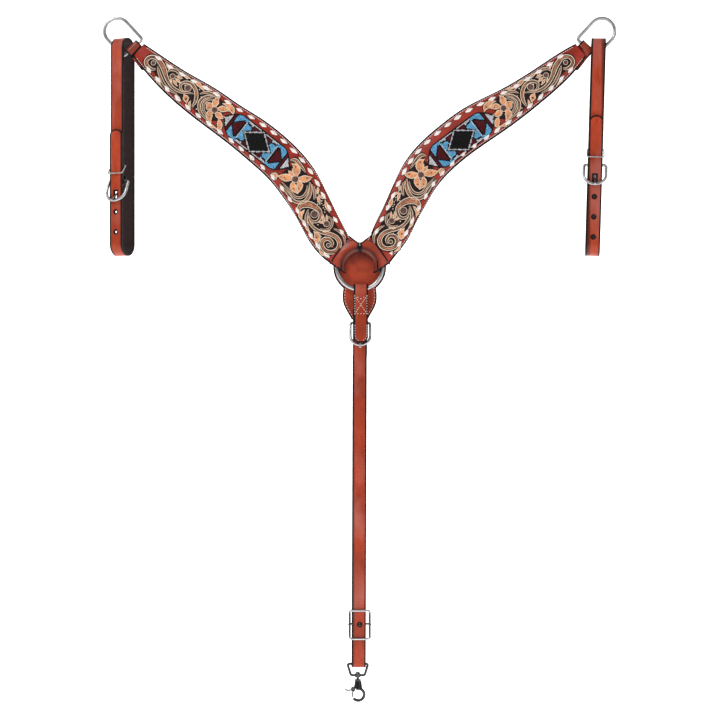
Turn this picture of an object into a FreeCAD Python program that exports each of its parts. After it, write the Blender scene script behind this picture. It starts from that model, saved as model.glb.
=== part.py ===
"""Western breast collar: two shaped leather panels on a centre ring, tug straps, tie-down and snap.

Millimetres, +Z up, +X to the viewer's right, the decorated side faces -Y.
The origin is the centre of the centre ring, and the collar hangs in the XZ plane.
"""
import FreeCAD
import Part
import math
import os

os.makedirs("parts", exist_ok=True)

V = FreeCAD.Vector
ORIGIN = V(0, 0, 0)
AXIS_X = V(1, 0, 0)
AXIS_Y = V(0, 1, 0)
AXIS_Z = V(0, 0, 1)

# Driving dimensions
STRAP_WIDE = 25.0
STRAP_THICK = 3.2
LEATHER = 3.0
PANEL_LAYER = 3.6
GAP = 0.4

RING_R = 39.7
RING_WIRE = 3.6

# Panel edges from the outer end to the centre ring, (x, z) on the left side
LEFT_UPPER = [(-377, 390), (-350, 372), (-301, 340), (-244, 307), (-214, 286), (-174, 261), (-134, 231),
              (-94, 191), (-73, 161), (-53, 121), (-33, 81), (-19, 54)]
LEFT_LOWER = [(-397, 368), (-373, 338), (-339, 302), (-301, 269), (-263, 240), (-225, 211), (-194, 185),
              (-154, 147), (-134, 121), (-114, 91), (-93, 52), (-78, 30), (-53, 7)]
RIGHT_UPPER = [(377, 390), (350, 375), (315, 352), (242, 308), (181, 277), (141, 248), (101, 212),
               (77, 181), (57, 141), (41, 105), (20, 58), (19, 54)]
RIGHT_LOWER = [(397, 368), (371, 336), (316, 286), (262, 244), (201, 202), (161, 169), (133, 137),
               (117, 110), (101, 81), (83, 46), (68, 26), (53, 7)]

# Band of leather that turns around the centre ring, in its own (across, out) plane
RING_LOOP_TURN = 54.0
RING_LOOP_FOLD = 26.6
RING_LOOP_SPREAD = 60.0
RING_LOOP_END = 47.0
RING_LOOP_PLAN = [(-24.5, 10), (12.5, 10), (32.8, 25), (33.5, 47), (-26, 47)]
RING_LOOP_BEND = 5.7

# End rings
END_ARC = V(-424, 0, 412.5)
END_TURN = 47.0
END_R = 22.6
END_WIRE = 3.0
END_LONG = 40.0
END_CORNER = 5.0
END_LOOP_WIDE = 27.0
END_LOOP_BEND = 5.1
END_LOOP_LONG = 10.5

# Bead inlays
INLAY_LONG = 147.0
INLAY_WIDE = 46.0
INLAY_CLIP = 22.0
INLAY_THICK = 1.2
INLAY_GAP = 0.1
INLAYS = {"left": (-180, 218, 38.0), "right": (177.5, 221.5, -37.0)}

# Lace
LACE_PITCH = 23.0
LACE_LONG = 12.0
LACE_WIDE = 5.5
LACE_THICK = 0.9
LACE_INSET = 8.0

# Tug straps: place of the strap, its turn about Z, and heights of what is on it
TUG_LOOP = 36.0
TUG_BAR = 13.0
TUG_BOTTOM = 19.0
TUG_TOP = 401.0
TUGS = {
    "left": {"x": -422.5, "turn": -24.0, "lean": 0.0, "buckle": 149.0, "tip": 239.0, "keeper": 162.0,
             "holes": (95.0, 60.0)},
    "right": {"x": 417.0, "turn": -6.0, "lean": 1.7, "buckle": 177.0, "tip": 263.0, "keeper": 190.0,
              "holes": (121.0, 86.0, 51.0)},
}
LAYER_STEP = STRAP_THICK + GAP
CHAPE_BEND = 4.5
CHAPE_TAIL = 9.0
HOLE_R = 2.2

# Buckles
BUCKLE_WIRE = 2.5
BUCKLE_WIDE = 39.0
BUCKLE_TALL = 37.5
BUCKLE_LEAN = 23.0
TONGUE_KNEE = (-3.0, -20.0)
TONGUE_R = 1.5
TONGUE_EYE = 4.3
TONGUE_LIFT = 3.5
TONGUE_START = 3.4
TONGUE_EYE_HALF = 1.8
TONGUE_BEND = 3.0
TONGUE_PAST = 0.5
EYE_PLAY = 0.05
KEEPER_WIRE = 1.1
KEEPER_RISE = 14.0
KEEPER_ROOM = 1.2

# Drop below the ring: safe, connector strap and horseshoe buckle
SAFE_Y = 8.9
SAFE_THICK = 3.2
SAFE_R = 46.5
SAFE_TOP = 38.5
SAFE_SIDE = -52.0
SAFE_EDGE = [(30, -50), (29, -62), (22, -78), (14, -92)]
CONNECTOR_X = 2.0
CONNECTOR_BEND = 7.0
CONNECTOR_TIP = -133.0
CONNECTOR_Y = -6.4
CONNECTOR_TIP_Y = -17.8
DROP_WIDE = 35.0
DROP_TALL = 42.0
DROP_BAR_Z = -98.0
DROP_X = 1.0
DROP_BAR_Y = 5.2
DROP_KNEE = (-6.0, -9.0)
DROP_LIFT = 4.0
CREASE_Z = -155.0
CREASE_GAP_ABOVE = 0.9
CREASE_GAP_BELOW = 1.2
BILLET_X = 0.5
BILLET_TOP = -74.0
TONGUE_SLOT = 4.4

# Tie-down strap, flat buckle and snap
TIE_FRONT = -2.9
TIE_TURN_BEND = 5.0
TIE_BOTTOM = -694.5
TIE_SPLIT = -676.0
TIE_SWAY = 0.2
CONWAY_X = 0.0
CONWAY_Z = -625.5
CONWAY_WIDE = 35.0
CONWAY_TALL = 49.5
CONWAY_BAR = 1.9
CONWAY_PIN = 1.6
CONWAY_KNOB = 2.4
SNAP_X = -3.4
SNAP_WIRE = 2.2
SNAP_TOP_HALF = 18.2
SNAP_LOW_HALF = 12.0
SNAP_BAR_Z = -715.0
SWIVEL_POST = 2.2
SWIVEL_BOSS = 4.6
SWIVEL_Z = -725.5
SNAP_NECK_Z = -737.5
SNAP_EYE = V(-2.6, 0, -748.8)
SNAP_EYE_R = 10.4
SNAP_HOOK_R = 2.6
SNAP_PIVOT = V(-11.6, 0, -739.2)
SNAP_CHEEK = 4.0
SNAP_THICK = 7.2
SNAP_SLOT = 3.6
SNAP_PIN_R = 1.02
GATE_WIRE = 1.25
LEVER_WIRE = 1.25
SPRING_R = 1.5
SPRING_WIRE = 0.26


def save(name, shape):
    """Write one node."""
    shape.exportStep("parts/" + name + ".step")


def fillet_path(points, bends, closed):
    """Straight runs joined by arcs; bends holds the arc radius of each point, 0 for none."""
    count = len(points)
    corners = []
    for i, point in enumerate(points):
        ends = not closed and i in (0, count - 1)
        if ends or bends[i] == 0:
            corners.append((point, None, point))
            continue
        before = (points[i - 1] - point).normalize()
        after = (points[(i + 1) % count] - point).normalize()
        half = before.getAngle(after) / 2
        reach = bends[i] / math.tan(half)
        middle = (before + after).normalize()
        centre = point + middle * (bends[i] / math.sin(half))
        corners.append((point + before * reach, centre - middle * bends[i], point + after * reach))
    edges = []
    for i in range(count):
        start, mid, end = corners[i]
        if mid is not None:
            edges.append(Part.Arc(start, mid, end).toShape())
        if i < count - 1 or closed:
            follow = corners[(i + 1) % count][0]
            if (follow - end).Length > 1e-6:
                edges.append(Part.makeLine(end, follow))
    return edges


def rod(points, bends, radius, closed=False):
    """A round wire along straight runs and arcs."""
    edges = fillet_path(points, bends, closed)
    path = Part.Wire(edges)
    first = edges[0]
    tangent = first.tangentAt(first.FirstParameter)
    circle = Part.Wire(Part.makeCircle(radius, first.valueAt(first.FirstParameter), tangent))
    return path.makePipeShell([circle], True, False)


def ribbon_section(points, bends, thick):
    """The side view of a strap as a face in the YZ plane: points are (y, z) along its middle."""
    def side(shift):
        moved = []
        count = len(points)
        for i in range(count):
            here = V(0, points[i][0], points[i][1])
            normals = []
            if i > 0:
                step = here - V(0, points[i - 1][0], points[i - 1][1])
                normals.append(V(0, -step.z, step.y).normalize())
            if i < count - 1:
                step = V(0, points[i + 1][0], points[i + 1][1]) - here
                normals.append(V(0, -step.z, step.y).normalize())
            if len(normals) == 1:
                moved.append((here + normals[0] * shift, bends[i], 0))
                continue
            middle = (normals[0] + normals[1]).normalize()
            scale = shift / middle.dot(normals[0])
            turn = normals[0].cross(normals[1]).x
            moved.append((here + middle * scale, bends[i], turn))
        radii = []
        for place, bend, turn in moved:
            radii.append(0 if bend == 0 else bend - shift * math.copysign(1, turn))
        return fillet_path([m[0] for m in moved], radii, False)

    left = side(thick / 2)
    right = side(-thick / 2)
    ends = [
        Part.makeLine(left[0].Vertexes[0].Point, right[0].Vertexes[0].Point),
        Part.makeLine(left[-1].Vertexes[-1].Point, right[-1].Vertexes[-1].Point),
    ]
    return Part.Face(Part.Wire(Part.__sortEdges__(left + right + ends)))


def ribbon(points, bends, thick, wide, x_mid=0.0):
    """A flat strap seen from its side: points are (y, z), and it is wide along X."""
    face = ribbon_section(points, bends, thick)
    face.translate(V(x_mid - wide / 2, 0, 0))
    return face.extrude(V(wide, 0, 0))


def slab(outline, y_low, y_high):
    """A closed wire in the XZ plane, extruded from y_low to y_high."""
    face = Part.Face(outline)
    face.translate(V(0, y_low, 0))
    return face.extrude(V(0, y_high - y_low, 0))


def polygon(points):
    """A closed straight-sided wire in the XZ plane."""
    corners = [V(x, 0, z) for x, z in points]
    return Part.makePolygon(corners + [corners[0]])


def edge_curve(points):
    """A smooth edge through the given (x, z) points."""
    curve = Part.BSplineCurve()
    curve.interpolate([V(x, 0, z) for x, z in points])
    return curve


def round_tip(strap, z_end, z_sign, x_mid, wide, y_low, y_high):
    """Cut a strap's square end to a half ellipse; z_sign is +1 for an end that points up."""
    reach = wide * 0.42
    base = z_end - z_sign * reach
    ellipse = Part.Ellipse(V(0, 0, 0), wide / 2 + 0.01, reach).toShape()
    disc = Part.Face(Part.Wire(ellipse))
    disc.rotate(ORIGIN, AXIS_X, 90)
    disc.translate(V(x_mid, y_high, base))
    tip = disc.extrude(V(0, y_low - y_high, 0))
    z_low = min(base, z_end + z_sign * 1.0)
    block = Part.makeBox(wide + 4, y_high - y_low, reach + 1.0, V(x_mid - wide / 2 - 2, y_low, z_low))
    return strap.cut(block.cut(tip))


def cylinder_between(start, end, radius):
    """A round bar from one point to another."""
    return Part.makeCylinder(radius, (end - start).Length, start, end - start)


def slot_cutter(x_mid, z_low, z_high, wide, y_low, y_high):
    """A box that cuts a slot through a strap."""
    return Part.makeBox(wide, y_high - y_low, z_high - z_low, V(x_mid - wide / 2, y_low, z_low))


# Centre ring and side panels

def center_ring():
    ring = Part.makeTorus(RING_R, RING_WIRE)
    ring.rotate(ORIGIN, AXIS_X, 90)
    return ring


def panel_outline(upper, lower):
    """The plan of a panel between its two leather loops."""
    top = edge_curve(upper)
    low = edge_curve(lower)
    ends = [
        Part.makeLine(V(upper[0][0], 0, upper[0][1]), V(lower[0][0], 0, lower[0][1])),
        Part.makeLine(V(upper[-1][0], 0, upper[-1][1]), V(lower[-1][0], 0, lower[-1][1])),
    ]
    return Part.Wire(Part.__sortEdges__([top.toShape(), low.toShape()] + ends))


def inlay_outline(side, spare):
    """The elongated six-sided bead field, grown by spare all round."""
    x, z, turn = INLAYS[side]
    long = INLAY_LONG / 2 + spare
    wide = INLAY_WIDE / 2 + spare
    points = [(-long, 0), (-long + INLAY_CLIP, wide), (long - INLAY_CLIP, wide), (long, 0),
              (long - INLAY_CLIP, -wide), (-long + INLAY_CLIP, -wide)]
    wire = polygon(points)
    wire.rotate(ORIGIN, AXIS_Y, turn)
    wire.translate(V(x, 0, z))
    return wire


def lace(curves, sign):
    """White lace crossings along both edges, lying on the face."""
    pieces = []
    for curve, inward in zip(curves, (-1, 1)):
        shape = curve.toShape()
        count = int(shape.Length / LACE_PITCH)
        places = shape.discretize(Number=2 * count + 1)[3:-1:2]
        for place in places:
            along = curve.tangent(curve.parameter(place))[0]
            if along.x * sign < 0:
                along = along * -1
            across = V(-along.z, 0, along.x) * sign
            middle = place + across * (inward * LACE_INSET)
            turn = -math.degrees(math.atan2(along.z, along.x))
            piece = Part.makeBox(LACE_LONG, LACE_THICK, LACE_WIDE,
                                 V(-LACE_LONG / 2, -LACE_THICK, -LACE_WIDE / 2))
            piece.rotate(ORIGIN, AXIS_Y, turn)
            piece.translate(V(middle.x, -PANEL_LAYER, middle.z))
            pieces.append(piece)
    return Part.makeCompound(pieces)


def ring_loop(side):
    """The plain band that wraps the centre ring along its curve, and meets the panel's end face."""
    out = RING_LOOP_END
    mid = PANEL_LAYER / 2
    bend = RING_LOOP_BEND
    fold = RING_LOOP_FOLD
    beyond = out + 23
    path = [(-mid, beyond), (-mid, out + 4), (-bend, out - 8), (-bend, fold),
            (bend, fold), (bend, out - 8), (mid, out + 4), (mid, beyond)]
    section = ribbon_section(path, [0, 4, 4, bend, bend, 4, 4, 0], LEATHER)
    section.rotate(ORIGIN, AXIS_Y, -RING_LOOP_SPREAD)
    band = section.revolve(ORIGIN, AXIS_Y, 2 * RING_LOOP_SPREAD)
    plan = slab(polygon(RING_LOOP_PLAN), -20, 20)
    band = band.common(plan)
    band.rotate(ORIGIN, AXIS_Y, -RING_LOOP_TURN)
    return band if side == "left" else band.mirror(ORIGIN, AXIS_X)


def end_frame(shape):
    """Place a shape whose -Z runs from the arc of an end ring to its flat bar."""
    shape.rotate(ORIGIN, AXIS_Y, -(90 - END_TURN))
    shape.translate(END_ARC)
    return shape


def end_ring():
    """A D of round wire: half circle, two straight sides and a flat bar."""
    r = END_R
    points = [V(-r, 0, r), V(r, 0, r), V(r, 0, -END_LONG), V(-r, 0, -END_LONG)]
    return end_frame(rod_from_side(points, [r - 0.01, r - 0.01, END_CORNER, END_CORNER], END_WIRE))


def rod_from_side(points, bends, radius):
    """A closed wire whose sweep starts in the middle of its last straight side."""
    middle = (points[-1] + points[0]) * 0.5 if bends[0] < bends[-2] else (points[-2] + points[-1]) * 0.5
    if bends[0] < bends[-2]:
        loop = [middle] + points
        radii = [0] + bends
    else:
        loop = [middle, points[-1]] + points[:-1]
        radii = [0, bends[-1]] + bends[:-1]
    return rod(loop, radii, radius, True)


def end_loop():
    """The panel's outer end, turned around the flat bar of its ring."""
    bend = END_LOOP_BEND
    mid = PANEL_LAYER / 2
    top = -END_LONG + bend
    low = -END_LONG - END_LOOP_LONG
    path = [(-mid, low - 30), (-mid, low - 3), (-bend, low + 7), (-bend, top), (bend, top), (bend, low + 7),
            (mid, low - 3), (mid, low - 30)]
    band = ribbon(path, [0, 3, 3, bend, bend, 3, 3, 0], LEATHER, END_LOOP_WIDE)
    return end_frame(band)


def make_panels():
    edges = {"left": (LEFT_UPPER, LEFT_LOWER, 1), "right": (RIGHT_UPPER, RIGHT_LOWER, -1)}
    for side, (upper, lower, sign) in edges.items():
        outline = panel_outline(upper, lower)
        face = slab(outline, -PANEL_LAYER, 0)
        lining = slab(outline, 0, PANEL_LAYER)
        face = face.cut(slab(inlay_outline(side, INLAY_GAP), -PANEL_LAYER, -PANEL_LAYER + INLAY_THICK))
        inlay = slab(inlay_outline(side, 0), -PANEL_LAYER, -PANEL_LAYER + INLAY_THICK)
        loop = ring_loop(side)
        end = end_loop()
        ring = end_ring()
        if side == "right":
            end = end.mirror(ORIGIN, AXIS_X)
            ring = ring.mirror(ORIGIN, AXIS_X)
        cover = slab(outline, -20, 20)
        loop = loop.cut(cover)
        end = end.cut(cover)
        save(side + "_panel_face", face)
        save(side + "_panel_lining", lining)
        save(side + "_bead_inlay", inlay)
        save(side + "_lace", lace((edge_curve(upper), edge_curve(lower)), sign))
        save(side + "_ring_loop", biggest(loop))
        save(side + "_end_loop", biggest(end))
        save(side + "_end_ring", ring)


def biggest(shape):
    """The largest solid of a shape."""
    return max(shape.Solids, key=lambda solid: solid.Volume)


# Buckles

def buckle_frame(wide, tall):
    """A horseshoe of round wire: straight heel bar along X at the origin, bow below it."""
    half = wide / 2
    points = [V(-half, 0, 0), V(half, 0, 0), V(half, 0, -tall), V(-half, 0, -tall)]
    loop = [V(0, 0, 0), points[1], points[2], points[3], points[0]]
    return rod(loop, [0, 4.0, half - 0.01, half - 0.01, 4.0], BUCKLE_WIRE, True)


def lean(shape):
    """Tip a buckle so that its bow comes forward of its heel bar."""
    shape.rotate(ORIGIN, AXIS_X, -BUCKLE_LEAN)
    return shape


def buckle_tongue(tall, knee, past, lift):
    """An eye around the heel bar, and a tongue that runs behind the strap and comes out over the bow."""
    eye = Part.makeCylinder(TONGUE_EYE, 2 * TONGUE_EYE_HALF, V(-TONGUE_EYE_HALF, 0, 0), AXIS_X)
    lean_angle = math.radians(BUCKLE_LEAN)
    bow_y = -math.sin(lean_angle) * tall - BUCKLE_WIRE - TONGUE_R - lift
    bow_z = -math.cos(lean_angle) * tall
    bend = V(0, knee[0], knee[1])
    start = V(bend).normalize() * TONGUE_START
    end = V(0, bow_y, bow_z - past)
    blade = rod([start, bend, end], [0, TONGUE_BEND, 0], TONGUE_R)
    reach = 2 * TONGUE_EYE_HALF
    bore = Part.makeCylinder(BUCKLE_WIRE + EYE_PLAY, 2 * reach, V(-reach, 0, 0), AXIS_X)
    both = eye.fuse(blade).cut(bore)
    return both.removeSplitter()


def keeper(wide, y_front, y_back):
    """A wire loop around both layers of a strap, lower in front than behind."""
    half = wide / 2 + KEEPER_WIRE + GAP + KEEPER_ROOM / 2
    front = y_front - KEEPER_WIRE - GAP - KEEPER_ROOM
    back = y_back + KEEPER_WIRE + GAP + KEEPER_ROOM
    points = [V(0, front, 0), V(half, front, 0), V(half, back, KEEPER_RISE), V(-half, back, KEEPER_RISE),
              V(-half, front, 0)]
    return rod(points, [0, 2.0, 2.0, 2.0, 2.0], KEEPER_WIRE, True)


# Tug straps

def tug_place(shape, side):
    """From the strap's own frame, run at y = 0, to its place on the end ring."""
    tug = TUGS[side]
    turn = math.radians(tug["turn"])
    shape.rotate(ORIGIN, AXIS_Z, tug["turn"])
    shape.rotate(V(0, 0, TUG_TOP), AXIS_Y, tug["lean"])
    shape.translate(V(tug["x"], -TUG_BAR * math.cos(turn), 0))
    return shape


def tug_strap(tug):
    """One belt: from the heel bar up over the ring, down behind, and back up through the buckle."""
    bar = tug["buckle"]
    far = TUG_LOOP
    front = -LAYER_STEP
    at_top = far / 2 - 0.01
    at_low = (far - front) / 2 - 0.01
    top = TUG_TOP - STRAP_THICK / 2
    low = TUG_BOTTOM + STRAP_THICK / 2
    chape = CHAPE_BEND
    at_bar = chape - 0.01
    path = [(2 * chape, bar + CHAPE_TAIL), (2 * chape, bar - chape), (0, bar - chape), (0, top), (far, top),
            (far, low), (front, low), (front, tug["tip"])]
    bends = [0, at_bar, at_bar, at_top, at_top, at_low, at_low, 0]
    strap = ribbon(path, bends, STRAP_THICK, STRAP_WIDE)
    strap = round_tip(strap, tug["tip"], 1, 0, STRAP_WIDE, front - 1.75, front + 1.75)
    strap = strap.cut(slot_cutter(0, bar - 15, bar + 6, 4.6, -1.9, 11.0))
    strap = strap.cut(slot_cutter(0, bar - 30, bar - 18, 4.4, front - 2, front + 1.75))
    for height in tug["holes"]:
        strap = strap.cut(Part.makeCylinder(HOLE_R, 8, V(0, front - 4, height), AXIS_Y))
    return strap


def make_tugs():
    for side, tug in TUGS.items():
        bar = V(0, CHAPE_BEND, tug["buckle"])
        frame = lean(buckle_frame(BUCKLE_WIDE, BUCKLE_TALL))
        frame.translate(bar)
        tongue = buckle_tongue(BUCKLE_TALL, TONGUE_KNEE, TONGUE_PAST, TONGUE_LIFT)
        tongue.translate(bar)
        loop = keeper(STRAP_WIDE, -LAYER_STEP - STRAP_THICK / 2, STRAP_THICK / 2)
        loop.translate(V(0, 0, tug["keeper"]))
        save(side + "_tug_strap", tug_place(tug_strap(tug), side))
        save(side + "_tug_buckle_frame", tug_place(frame, side))
        save(side + "_tug_buckle_tongue", tug_place(tongue, side))
        save(side + "_tug_keeper", tug_place(loop, side))


# The drop: safe, connector and buckle below the centre ring

def safe_plate():
    """Keyhole-shaped leather that lies behind the ring and narrows to the buckle."""
    angle = math.radians(SAFE_SIDE)
    start = V(SAFE_R * math.cos(angle), 0, SAFE_R * math.sin(angle))
    edge = [start] + [V(x, 0, z) for x, z in SAFE_EDGE]
    mirrored = [V(-p.x, 0, p.z) for p in edge]
    sides = []
    for points in (edge, mirrored):
        curve = Part.BSplineCurve()
        curve.interpolate(points)
        sides.append(curve.toShape())
    arc = Part.Arc(start, V(0, 0, SAFE_R), mirrored[0]).toShape()
    base = Part.makeLine(edge[-1], mirrored[-1])
    wire = Part.Wire(Part.__sortEdges__([arc, base] + sides))
    plate = slab(wire, SAFE_Y, SAFE_Y + SAFE_THICK)
    above = Part.makeBox(3 * SAFE_R, 3 * SAFE_THICK, SAFE_R, V(-1.5 * SAFE_R, SAFE_Y - SAFE_THICK, SAFE_TOP))
    return plate.cut(above)


def connector():
    """Strap that hangs on the bottom of the ring, its rounded front end covering the buckle's tongue."""
    mid = -RING_R + 1.35
    bend = CONNECTOR_BEND
    path = [(bend, -90), (bend, mid + bend), (-bend, mid + bend), (-bend, mid - 14),
            (CONNECTOR_Y, mid - 26), (CONNECTOR_Y, DROP_BAR_Z), (CONNECTOR_TIP_Y, CONNECTOR_TIP)]
    bends = [0, bend - 0.01, bend - 0.01, 20, 20, 40, 0]
    strap = ribbon(path, bends, LEATHER, STRAP_WIDE, CONNECTOR_X)
    y_low = CONNECTOR_TIP_Y - 3
    return round_tip(strap, CONNECTOR_TIP, -1, CONNECTOR_X, STRAP_WIDE, y_low, y_low + 9)


def chape():
    """Fold of leather around the buckle's heel bar, sewn between safe and connector."""
    bar_y = DROP_BAR_Y
    bend = CHAPE_BEND
    path = [(bar_y - bend, BILLET_TOP), (bar_y - bend, DROP_BAR_Z - bend), (bar_y + bend, DROP_BAR_Z - bend),
            (bar_y + bend, -93.5)]
    strap = ribbon(path, [0, bend - 0.01, bend - 0.01, 0], LEATHER, STRAP_WIDE, CONNECTOR_X)
    return strap.cut(slot_cutter(DROP_X, DROP_BAR_Z - 8, DROP_BAR_Z + 6, 4.6, -2, 12))


def make_drop():
    bar = V(DROP_X, DROP_BAR_Y, DROP_BAR_Z)
    frame = lean(buckle_frame(DROP_WIDE, DROP_TALL))
    frame.translate(bar)
    tongue = buckle_tongue(DROP_TALL, DROP_KNEE, 6.0, DROP_LIFT)
    tongue.translate(bar)
    billet_y = DROP_BAR_Y - CHAPE_BEND - LEATHER / 2 - GAP - STRAP_THICK / 2
    ends = [(billet_y, CREASE_Z + CREASE_GAP_ABOVE), (billet_y, BILLET_TOP)]
    billet = ribbon(ends, [0, 0], STRAP_THICK, STRAP_WIDE, BILLET_X)
    slot = slot_cutter(DROP_X, DROP_BAR_Z - 24, DROP_BAR_Z - 1.5, TONGUE_SLOT, billet_y - 3, billet_y + 3)
    billet = billet.cut(slot)
    save("hub_safe", safe_plate())
    save("connector_strap", connector())
    save("drop_chape", chape())
    save("drop_billet", billet)
    save("drop_buckle_frame", frame)
    save("drop_buckle_tongue", tongue)


# Tie-down strap with its flat buckle

def tie_down():
    """Long strap: down to the snap, round its bar, and up behind to the flat buckle.

    It is given as its straight run and its tail, which turns round the bar.
    """
    front = TIE_FRONT
    bend = TIE_TURN_BEND
    low = TIE_BOTTOM - bend
    back = front + 2 * bend
    near = front + LAYER_STEP
    path = [(front, CREASE_Z - CREASE_GAP_BELOW), (front, low), (back, low), (back, low + 22),
            (near, low + 42), (near, CONWAY_Z + CONWAY_TALL / 2 + 12)]
    strap = ribbon(path, [0, bend - 0.01, bend - 0.01, 20, 20, 0], STRAP_THICK, STRAP_WIDE, 0)
    strap.rotate(V(0, 0, CREASE_Z), AXIS_Y, TIE_SWAY)
    strap = strap.cut(Part.makeCylinder(HOLE_R, 20, V(CONWAY_X, -10, CONWAY_Z), AXIS_Y))
    deep = LAYER_STEP / 2 + STRAP_THICK
    run_space = Part.makeBox(2 * STRAP_WIDE, deep, -TIE_SPLIT, V(-STRAP_WIDE, front - STRAP_THICK, TIE_SPLIT))
    return strap.common(run_space), strap.cut(run_space)


def conway_buckle():
    """Flat rectangular frame in front of the strap."""
    half_x = CONWAY_WIDE / 2
    half_z = CONWAY_TALL / 2
    y = TIE_FRONT - STRAP_THICK / 2 - CONWAY_BAR - GAP
    corners = [V(0, y, half_z), V(half_x, y, half_z), V(half_x, y, -half_z), V(-half_x, y, -half_z),
               V(-half_x, y, half_z)]
    frame = rod(corners, [0, 3.0, 3.0, 3.0, 3.0], CONWAY_BAR, True)
    frame.translate(V(CONWAY_X, 0, CONWAY_Z))
    return frame


def conway_pin():
    """Back bar of the flat buckle, bent forward at both ends, and its pin through both layers."""
    y_back = TIE_FRONT + LAYER_STEP + STRAP_THICK / 2 + CONWAY_BAR + GAP
    y_knob = TIE_FRONT - STRAP_THICK / 2 - 2 * CONWAY_BAR - GAP - 0.6
    bar_x = CONWAY_WIDE / 2 + 1.2
    points = [V(-bar_x, TIE_FRONT, 0), V(-bar_x, y_back, 0), V(bar_x, y_back, 0), V(bar_x, TIE_FRONT, 0)]
    bar = rod(points, [0, 2.5, 2.5, 0], CONWAY_PIN)
    pin = cylinder_between(V(0, y_back, 0), V(0, y_knob, 0), CONWAY_PIN)
    knob = Part.makeSphere(CONWAY_KNOB, V(0, y_knob, 0))
    both = bar.fuse(pin).fuse(knob).removeSplitter()
    both.translate(V(CONWAY_X, 0, CONWAY_Z))
    return both


# Snap

def snap_loop():
    """Trapezoid of wire that holds the strap, with the swivel's boss in its lower bar."""
    y = TIE_FRONT + TIE_TURN_BEND
    top = TIE_BOTTOM - 0.6
    low = SNAP_BAR_Z
    points = [V(0, y, top), V(SNAP_TOP_HALF, y, top), V(SNAP_LOW_HALF, y, low), V(-SNAP_LOW_HALF, y, low),
              V(-SNAP_TOP_HALF, y, top)]
    loop = rod(points, [0, 2.6, 3.0, 3.0, 2.6], SNAP_WIRE, True)
    boss = Part.makeCylinder(SWIVEL_BOSS, 6.4, V(0, y, low - 3.2), AXIS_Z)
    bore = Part.makeCylinder(SWIVEL_POST + 0.1, 12, V(0, y, low - 6), AXIS_Z)
    loop = loop.fuse(boss).cut(bore).removeSplitter()
    loop.translate(V(SNAP_X, 0, 0))
    return loop


def snap_place(shape):
    """Move a snap piece from the y = 0 plane to the plane of the snap's loop."""
    shape.translate(V(0, TIE_FRONT + TIE_TURN_BEND, 0))
    return shape


def cross_bar(radius, y_start, length):
    """A round bar along Y through the trigger's pivot, from y_start towards the front."""
    return Part.makeCylinder(radius, length, SNAP_PIVOT + V(0, y_start, 0), V(0, -1, 0))


def arc_rod(centre, radius, start, end, wire):
    """Round wire along an arc in the XZ plane, angles in degrees from +X towards +Z."""
    def at(angle):
        a = math.radians(angle)
        return V(centre.x + radius * math.cos(a), centre.y, centre.z + radius * math.sin(a))

    arc = Part.Arc(at(start), at((start + end) / 2), at(end)).toShape()
    tangent = arc.tangentAt(arc.FirstParameter)
    circle = Part.Wire(Part.makeCircle(wire, at(start), tangent))
    return Part.Wire([arc]).makePipeShell([circle], True, False)


def snap_body():
    """Swivel post with its head, cheeked body and fixed hook."""
    post = Part.makeCylinder(SWIVEL_POST, 14.5, V(SNAP_X, 0, SWIVEL_Z), AXIS_Z)
    head = Part.makeCone(4.2, 2.6, 2.6, V(SNAP_X, 0, SWIVEL_Z + 14), AXIS_Z)
    collar = Part.makeCylinder(5.2, 4.0, V(SNAP_X, 0, SWIVEL_Z), AXIS_Z)
    neck = Part.makeCone(7.8, 5.6, 12.5, V(SNAP_X + 0.6, 0, SNAP_NECK_Z), AXIS_Z)
    hook = arc_rod(SNAP_EYE, SNAP_EYE_R, 112, -143, SNAP_HOOK_R)
    body = neck.fuse(collar).fuse(post).fuse(head).fuse(hook)
    slot = Part.makeBox(10.3, SNAP_SLOT, 12, SNAP_PIVOT + V(-5.9, -SNAP_SLOT / 2, -8.8))
    body = body.cut(slot)
    cheek = cross_bar(SNAP_CHEEK, SNAP_THICK / 2, SNAP_THICK)
    cheek = cheek.cut(Part.makeBox(9, SNAP_SLOT, 9, SNAP_PIVOT + V(-4.5, -SNAP_SLOT / 2, -4.5)))
    cheek = cheek.cut(cross_bar(SNAP_PIN_R + 0.13, 6, 12))
    body = body.fuse(cheek).removeSplitter()
    return snap_place(biggest(body))


def snap_trigger():
    """Gate that closes the hook, with the thumb lever beside it."""
    middle = SNAP_PIVOT + V(0, -0.5, 0)
    hub = cross_bar(3.0, 0.3, 1.8)
    gate = arc_rod(SNAP_EYE, SNAP_EYE_R, 138, 203, GATE_WIRE)
    gate.translate(V(0, -0.5, 0))
    lever = rod([middle, middle + V(-7.4, 0, -2.3), middle + V(-14.9, 0, -1.0)], [0, 6, 0], LEVER_WIRE)
    trigger = hub.fuse(gate).fuse(lever)
    trigger = trigger.cut(cross_bar(2.0, 4.3, 4))
    trigger = trigger.cut(cross_bar(SNAP_PIN_R + 0.08, 6, 12))
    return snap_place(biggest(trigger.removeSplitter()))


def snap_pin():
    return snap_place(cross_bar(SNAP_PIN_R, SNAP_THICK / 2, SNAP_THICK))


def snap_spring():
    """Two turns of fine wire around the trigger's pin."""
    turns = []
    for y in (0.75, 1.35):
        turns.append(Part.makeTorus(SPRING_R, SPRING_WIRE, SNAP_PIVOT + V(0, y, 0), AXIS_Y))
    return snap_place(Part.makeCompound(turns))


def make_tie_down():
    run, tail = tie_down()
    save("tie_down_strap", run)
    save("tie_down_tail", tail)
    save("conway_buckle_frame", conway_buckle())
    save("conway_buckle_pin", conway_pin())
    save("snap_loop", snap_loop())
    save("snap_body", snap_body())
    save("snap_trigger", snap_trigger())
    save("snap_pin", snap_pin())
    save("snap_spring", snap_spring())


save("center_ring", center_ring())
make_panels()
make_tugs()
make_drop()
make_tie_down()
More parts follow.
